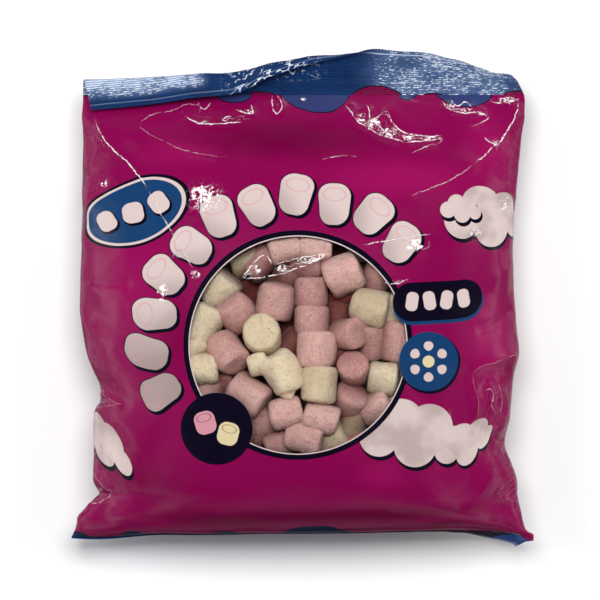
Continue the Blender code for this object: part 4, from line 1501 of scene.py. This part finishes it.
# %% The core of the heap
rings, spokes, core_radius = 14, 48, 52
CORE_DEPTH = 19  # mm under the film
core_points, core_faces = [], []
for i in range(rings + 1):
    for j in range(spokes):
        turn_to = 2 * math.pi * j / spokes
        spoke = np.array([math.cos(turn_to), math.sin(turn_to)])
        x, y = WINDOW_MM + core_radius * i / rings * spoke
        z = roof_over(x, y) - CORE_DEPTH + 2.5 * math.sin(x / 4) * math.cos(y / 4)
        core_points.append((x, y, max(z, 6)))
for j in range(spokes):
    x, y, _ = core_points[rings * spokes + j]
    core_points.append((x, y, 5))
for i in range(rings + 1):
    for j in range(spokes):
        a, b = i * spokes + j, i * spokes + (j + 1) % spokes
        core_faces.append((a, a + spokes, b + spokes, b))
last_ring = (rings + 1) * spokes
core_faces.append(tuple(last_ring + j for j in reversed(range(spokes))))
core_points = np.array(core_points) * MM + CENTRE
core = piece("heap_core", core_points, core_faces, PINK)
# A depth of 1 everywhere paints the core in the gap colour, as painted shade.
dressed(core, np.tile([0.2, 1.0, 0.0], (len(core_points), 1)))

# %% [markdown]
# ## The seals
# At each end the front and back film are welded in a strip pressed by ribbed jaws, which leaves
# fine ridges along it, and the strip is cut with a toothed knife. The strip is stiff, so it
# doesn't crumple as the bag does: it folds and curls. The top one is folded forward over the left
# half of the bag, stands up in the middle and curls back at the right. Each column of the strip
# starts on the bag and walks up it in small steps whose direction turns as the fold asks.

# %% Seal shapes
FOLD_START = [(-1, 4.6), (-0.7, 5.6), (-0.5, 6.8), (-0.3, 7.4), (-0.14, 11.0), (0.04, 14.0)]
FOLD_START += [(0.24, 15.6), (0.44, 20)]
FOLD_LENGTH = [(-1, 3.4), (-0.5, 3.8), (-0.3, 4.4), (0.04, 3.4), (0.44, 3.0)]
FOLD_TURN = [(-1, 158), (-0.5, 155), (-0.2, 150), (0.24, 120), (0.44, 0)]
LEAN_BACK = [(0.0, 0), (0.14, 5), (0.24, 13), (0.33, 20), (0.42, 25), (0.5, 27), (0.57, 30.5)]
LEAN_BACK += [(0.71, 43), (0.8, 53), (0.88, 61), (1.0, 64)]
BASE_TURN = [(-1, -92), (-0.9, -104), (0.45, -106), (0.58, -91), (0.7, -83), (0.8, -76), (0.9, -69)]
BASE_TURN += [(0.94, -72), (1.0, -85)]
CORNER_LEAN = 0.40
TOP_SEAL, BOTTOM_SEAL = 20.5, 13.0
TOOTH, TOOTH_DEPTH = 1.28, 0.55
RIB = 0.95


def outside_film(points):
    """Moves points that would be in the bag's base out past its film, towards the base."""
    for point in points.reshape(-1, 3):
        x, y, z = point * MM + CENTRE
        hit = film_tree.ray_cast(Vector((x, y - 40 * MM, z)), Vector((0, 1, 0)))[0]
        if hit:
            point[1] = min(point[1], (hit.y - MIDDLE[1]) / MM - 0.30)
    return points


def strip(name, joint_line, outward, height, bend, finish, columns, rows, lean=0.0):
    """A crimped seal. bend(u, w) is how far it has turned forward, w mm from where it starts."""
    across = np.linspace(-1, 1, columns + 1)
    x, y, z = joint_line(across)
    teeth = TOOTH_DEPTH * np.abs(2 * ((x / TOOTH) % 1) - 1)
    share = np.linspace(0, 1, rows + 1)
    w = share[None, :] * (height - teeth[:, None])
    angle = np.stack([bend(u, column) for u, column in zip(across, w)])
    step = np.diff(w, axis=1)
    dy, dz = np.cos(angle) * outward, np.sin(angle)
    rise = [np.cumsum((d[:, 1:] + d[:, :-1]) / 2 * step, axis=1) for d in (dy, dz)]
    rise = [np.hstack([np.zeros((columns + 1, 1)), r]) for r in rise]
    aside = lean * ease(0.80, 1.05, across)[:, None] * w
    aside = aside - 0.6 * lean * ease(-0.84, -1.02, across)[:, None] * np.maximum(w - 5, 0)
    ribs = 0.10 * np.sin(w * 2 * math.pi / RIB) * ease(1.0, 2.5, w) * ease(height, height - 1.5, w)
    dents = np.array([[noise.noise(Vector((a / 9, b / 3, outward))) for b in w[0, ::6]] for a in x])
    dents = np.stack([np.interp(w[0], w[0, ::6], row) for row in dents])
    out = ribs + 0.5 * dents * ease(0, 2, w)
    points = np.stack(
        [
            x[:, None] - aside,
            y[:, None] + rise[0] - dz * outward * out,
            z[:, None] + rise[1] + dy * outward * out,
        ],
        axis=2,
    )
    if outward < 0:
        points = outside_film(points)
    world_points = points.reshape(-1, 3) * MM + CENTRE
    n = rows + 1
    faces = [
        (i * n + k, (i + 1) * n + k, (i + 1) * n + k + 1, i * n + k + 1)[:: int(outward)]
        for i in range(columns)
        for k in range(rows)
    ]
    made = piece(name, world_points, faces, finish)
    places = np.stack([np.broadcast_to(x[:, None], w.shape), w, height - w], axis=2)
    stored_with(made, "strip", places)
    thickness = made.modifiers.new("two films", "SOLIDIFY")
    thickness.thickness = 0.20 * MM
    thickness.offset = 0
    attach(made, "root")
    return made


# %% [markdown]
# The seal's finish is the blue ink of the bag's top under the jaws' ridges. The ridges are in the
# mesh, and a finer grain of tiny facets on them is a bump. Sparks of light on them are painted in:
# white specks and a bluish haze at the left and the right, strongest at the left, where the seal
# is folded forward. A pale line runs along near the cut edge, where the ink stops for a moment.
# The bottom seal is painted dark over most of its right half, as the shade under the bag's edge.


# %% Seal finish
def seal_finish(name, plain, worn_to, glitter, shaded=False):
    finish = Finish(name)
    where, along, up, from_cut = finish.stored("strip")
    worn = finish.cloud(where, 16.0, 3.0)
    colour = finish.coat(plain, worn_to, worn)
    edge = above_drips(along, up)
    if shaded:
        # Painted shade: near-black over most of the right half, with a jagged edge near the right end.
        jagged = up + (along - 75.0) * 1.25 + finish.cloud(where, 1.5, 2.0) * 2.0
        painted_shade = finish.step(along, 12.0, 60.0) * finish.step(jagged, 14.5, 13.5)
        colour = finish.coat(colour, ink("#080d26"), painted_shade)
    else:
        colour = finish.coat(NAVY, colour, inside(edge, 0.1))
        colour = finish.coat(ink("#680338"), colour, inside(edge, 0.55))
    line = finish.step(abs(from_cut - 2.4), 0.32, 0.12) * (finish.step(along, 0.0, 45.0) * 0.7 + 0.2)
    colour = finish.coat(colour, ink("#b4c2d8"), line)
    stretched = finish.vector("MULTIPLY", where, (0.42, 1.0, 1.0))
    grain = finish.node("ShaderNodeTexVoronoi", None, {"Vector": stretched, "Scale": 1 / 0.42}, 1)
    pick = finish.parts(grain)[0]
    rib = finish.step(up.maths("SINE", up * (2 * math.pi / RIB)), -0.2, 0.9)
    # Painted glitter: sparks and a bluish haze at the left and the right, where light reaches.
    left = finish.step(abs(along + 66.0), 30.0, 20.0) * finish.step(from_cut, 3.0, 8.5)
    right = finish.step(abs(along - 60.0), 42.0, 18.0) * 0.72
    painted_glitter_reach = most(left * 1.5, right) * glitter
    patches = (finish.step(finish.cloud(where, 9.0, 3.0), 0.25, 0.65) * 0.6 + 0.4) * painted_glitter_reach
    spark = finish.step(pick + patches * 0.78, 1.05, 1.32) * (rib * 0.8 + 0.2)
    painted = inside(edge)
    colour = finish.coat(colour, ink("#7591bd"), patches * painted * 0.5)
    colour = finish.coat(colour, ink("#e8eff8"), spark * painted * 0.9)
    # Where the seal folds over, and beside that, a few creases and flecks are painted near-white, as
    # glints.
    bent = finish.step(abs(along + 12.0), 24.0, 8.0) * finish.step(up, 5.0, 9.0) * glitter
    crack = {"Vector": where, "Scale": 1 / 3.2}
    crack = finish.node("ShaderNodeTexVoronoi", {"feature": "DISTANCE_TO_EDGE"}, crack)
    crack = finish.step(crack, 0.09, 0.02) * finish.step(finish.cloud(where, 3.0, 2.0), 0.50, 0.58)
    colour = finish.coat(colour, ink("#dfe9f6"), crack * bent * 0.9)
    normal = finish.bump(grain.maths("MULTIPLY", grain, 1.0), 0.10 * MM)
    normal = finish.bump(rib, 0.10 * MM, normal)
    normal = finish.bump(finish.cloud(where, 3.0, 3.0), 0.25 * MM, normal)
    sockets = {"Base Color": colour, "Roughness": 0.24, "IOR": 1.45, "Normal": normal}
    return finish.show(finish.solid(sockets))


TOP_SEAL_FILM = seal_finish("crimped top seal", ink("#081d45"), ink("#113565"), 1.0)
# The bottom seal barely glitters, and its last argument paints shade on it.
BOTTOM_SEAL_FILM = seal_finish("crimped bottom seal", ink("#15397a"), ink("#2a569c"), 0.1, True)


def top_joint(u):
    x = u * half_width(u, TOP_MM)
    return x, np.full(x.shape, TOP_MM - 0.15), joint(x)


def top_bend(u, w):
    start, length = float(smooth(FOLD_START, u)), float(smooth(FOLD_LENGTH, u))
    forward = math.radians(float(smooth(FOLD_TURN, u))) * ease(start, start + length, w)
    return forward - math.radians(float(smooth(LEAN_BACK, u))) * (0.4 + 1.2 * w / TOP_SEAL)


def bottom_joint(u):
    edge = (film_grid[0, : COLUMNS + 1] - CENTRE) / MM
    steps = np.linspace(-1, 1, COLUMNS + 1)
    x, y, z = (np.interp(u, steps, edge[:, axis]) for axis in range(3))
    return x, y + 0.15, z


def bottom_bend(u, w):
    return math.radians(float(smooth(BASE_TURN, u))) * ease(-3.0, 1.0, w)


top_seal = strip(
    "top_seal_strip", top_joint, 1, TOP_SEAL, top_bend, TOP_SEAL_FILM, 560, 84, CORNER_LEAN
)
bottom_seal = strip(
    "bottom_seal_strip", bottom_joint, -1, BOTTOM_SEAL, bottom_bend, BOTTOM_SEAL_FILM, 560, 56, CORNER_LEAN
)
for made, node in ((top_seal, "top_seal"), (bottom_seal, "bottom_seal")):
    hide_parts(node)
    print(made.name, len(made.data.polygons), "faces")

# %% [markdown]
# ## The back seam
# The film's two long edges are welded up the middle of the back, and the seam is folded flat
# against it. It follows the film's own grid, a little outside it, with one edge standing slightly
# off where the fold springs.

# %% The back seam
SEAM_SPAN = 4  # squares of the grid on each side of the middle
middle_column = int(1.5 * COLUMNS)
seam_columns = np.arange(middle_column - SEAM_SPAN, middle_column + SEAM_SPAN + 1)
film_normals = normals_of(film_grid)
seam_rows = slice(6, ROWS - 5)
stand_off = np.linspace(0.20, 0.34, len(seam_columns))[None, :, None] * MM
seam_grid = film_grid[seam_rows, seam_columns] + film_normals[seam_rows, seam_columns] * stand_off
seam_grid[..., 2] = np.maximum(seam_grid[..., 2], 0.12 * MM)
tall, wide = seam_grid.shape[:2]
seam = piece("back_seam_strip", seam_grid.reshape(-1, 3), squares(tall, wide), PRINTED)
stored_with(seam, "flat", flat_places[seam_rows, seam_columns] / MM)
stored_with(seam, "crease", np.tile([9.0, 0.0, 0.2], (tall * wide, 1)))
thickness = seam.modifiers.new("welded films", "SOLIDIFY")
thickness.thickness = 0.16 * MM
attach(seam, "root")
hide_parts("back_seam")
print("seam", tall, "x", wide, "points")

boxes = {
    "cad": [list(map(float, corner)) for corner in cad_box],
    "visual": [list(map(float, corner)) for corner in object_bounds()],
}
for name, (low, high) in boxes.items():
    print(name, [round(v / MM, 1) for v in low], [round(v / MM, 1) for v in high], "mm")
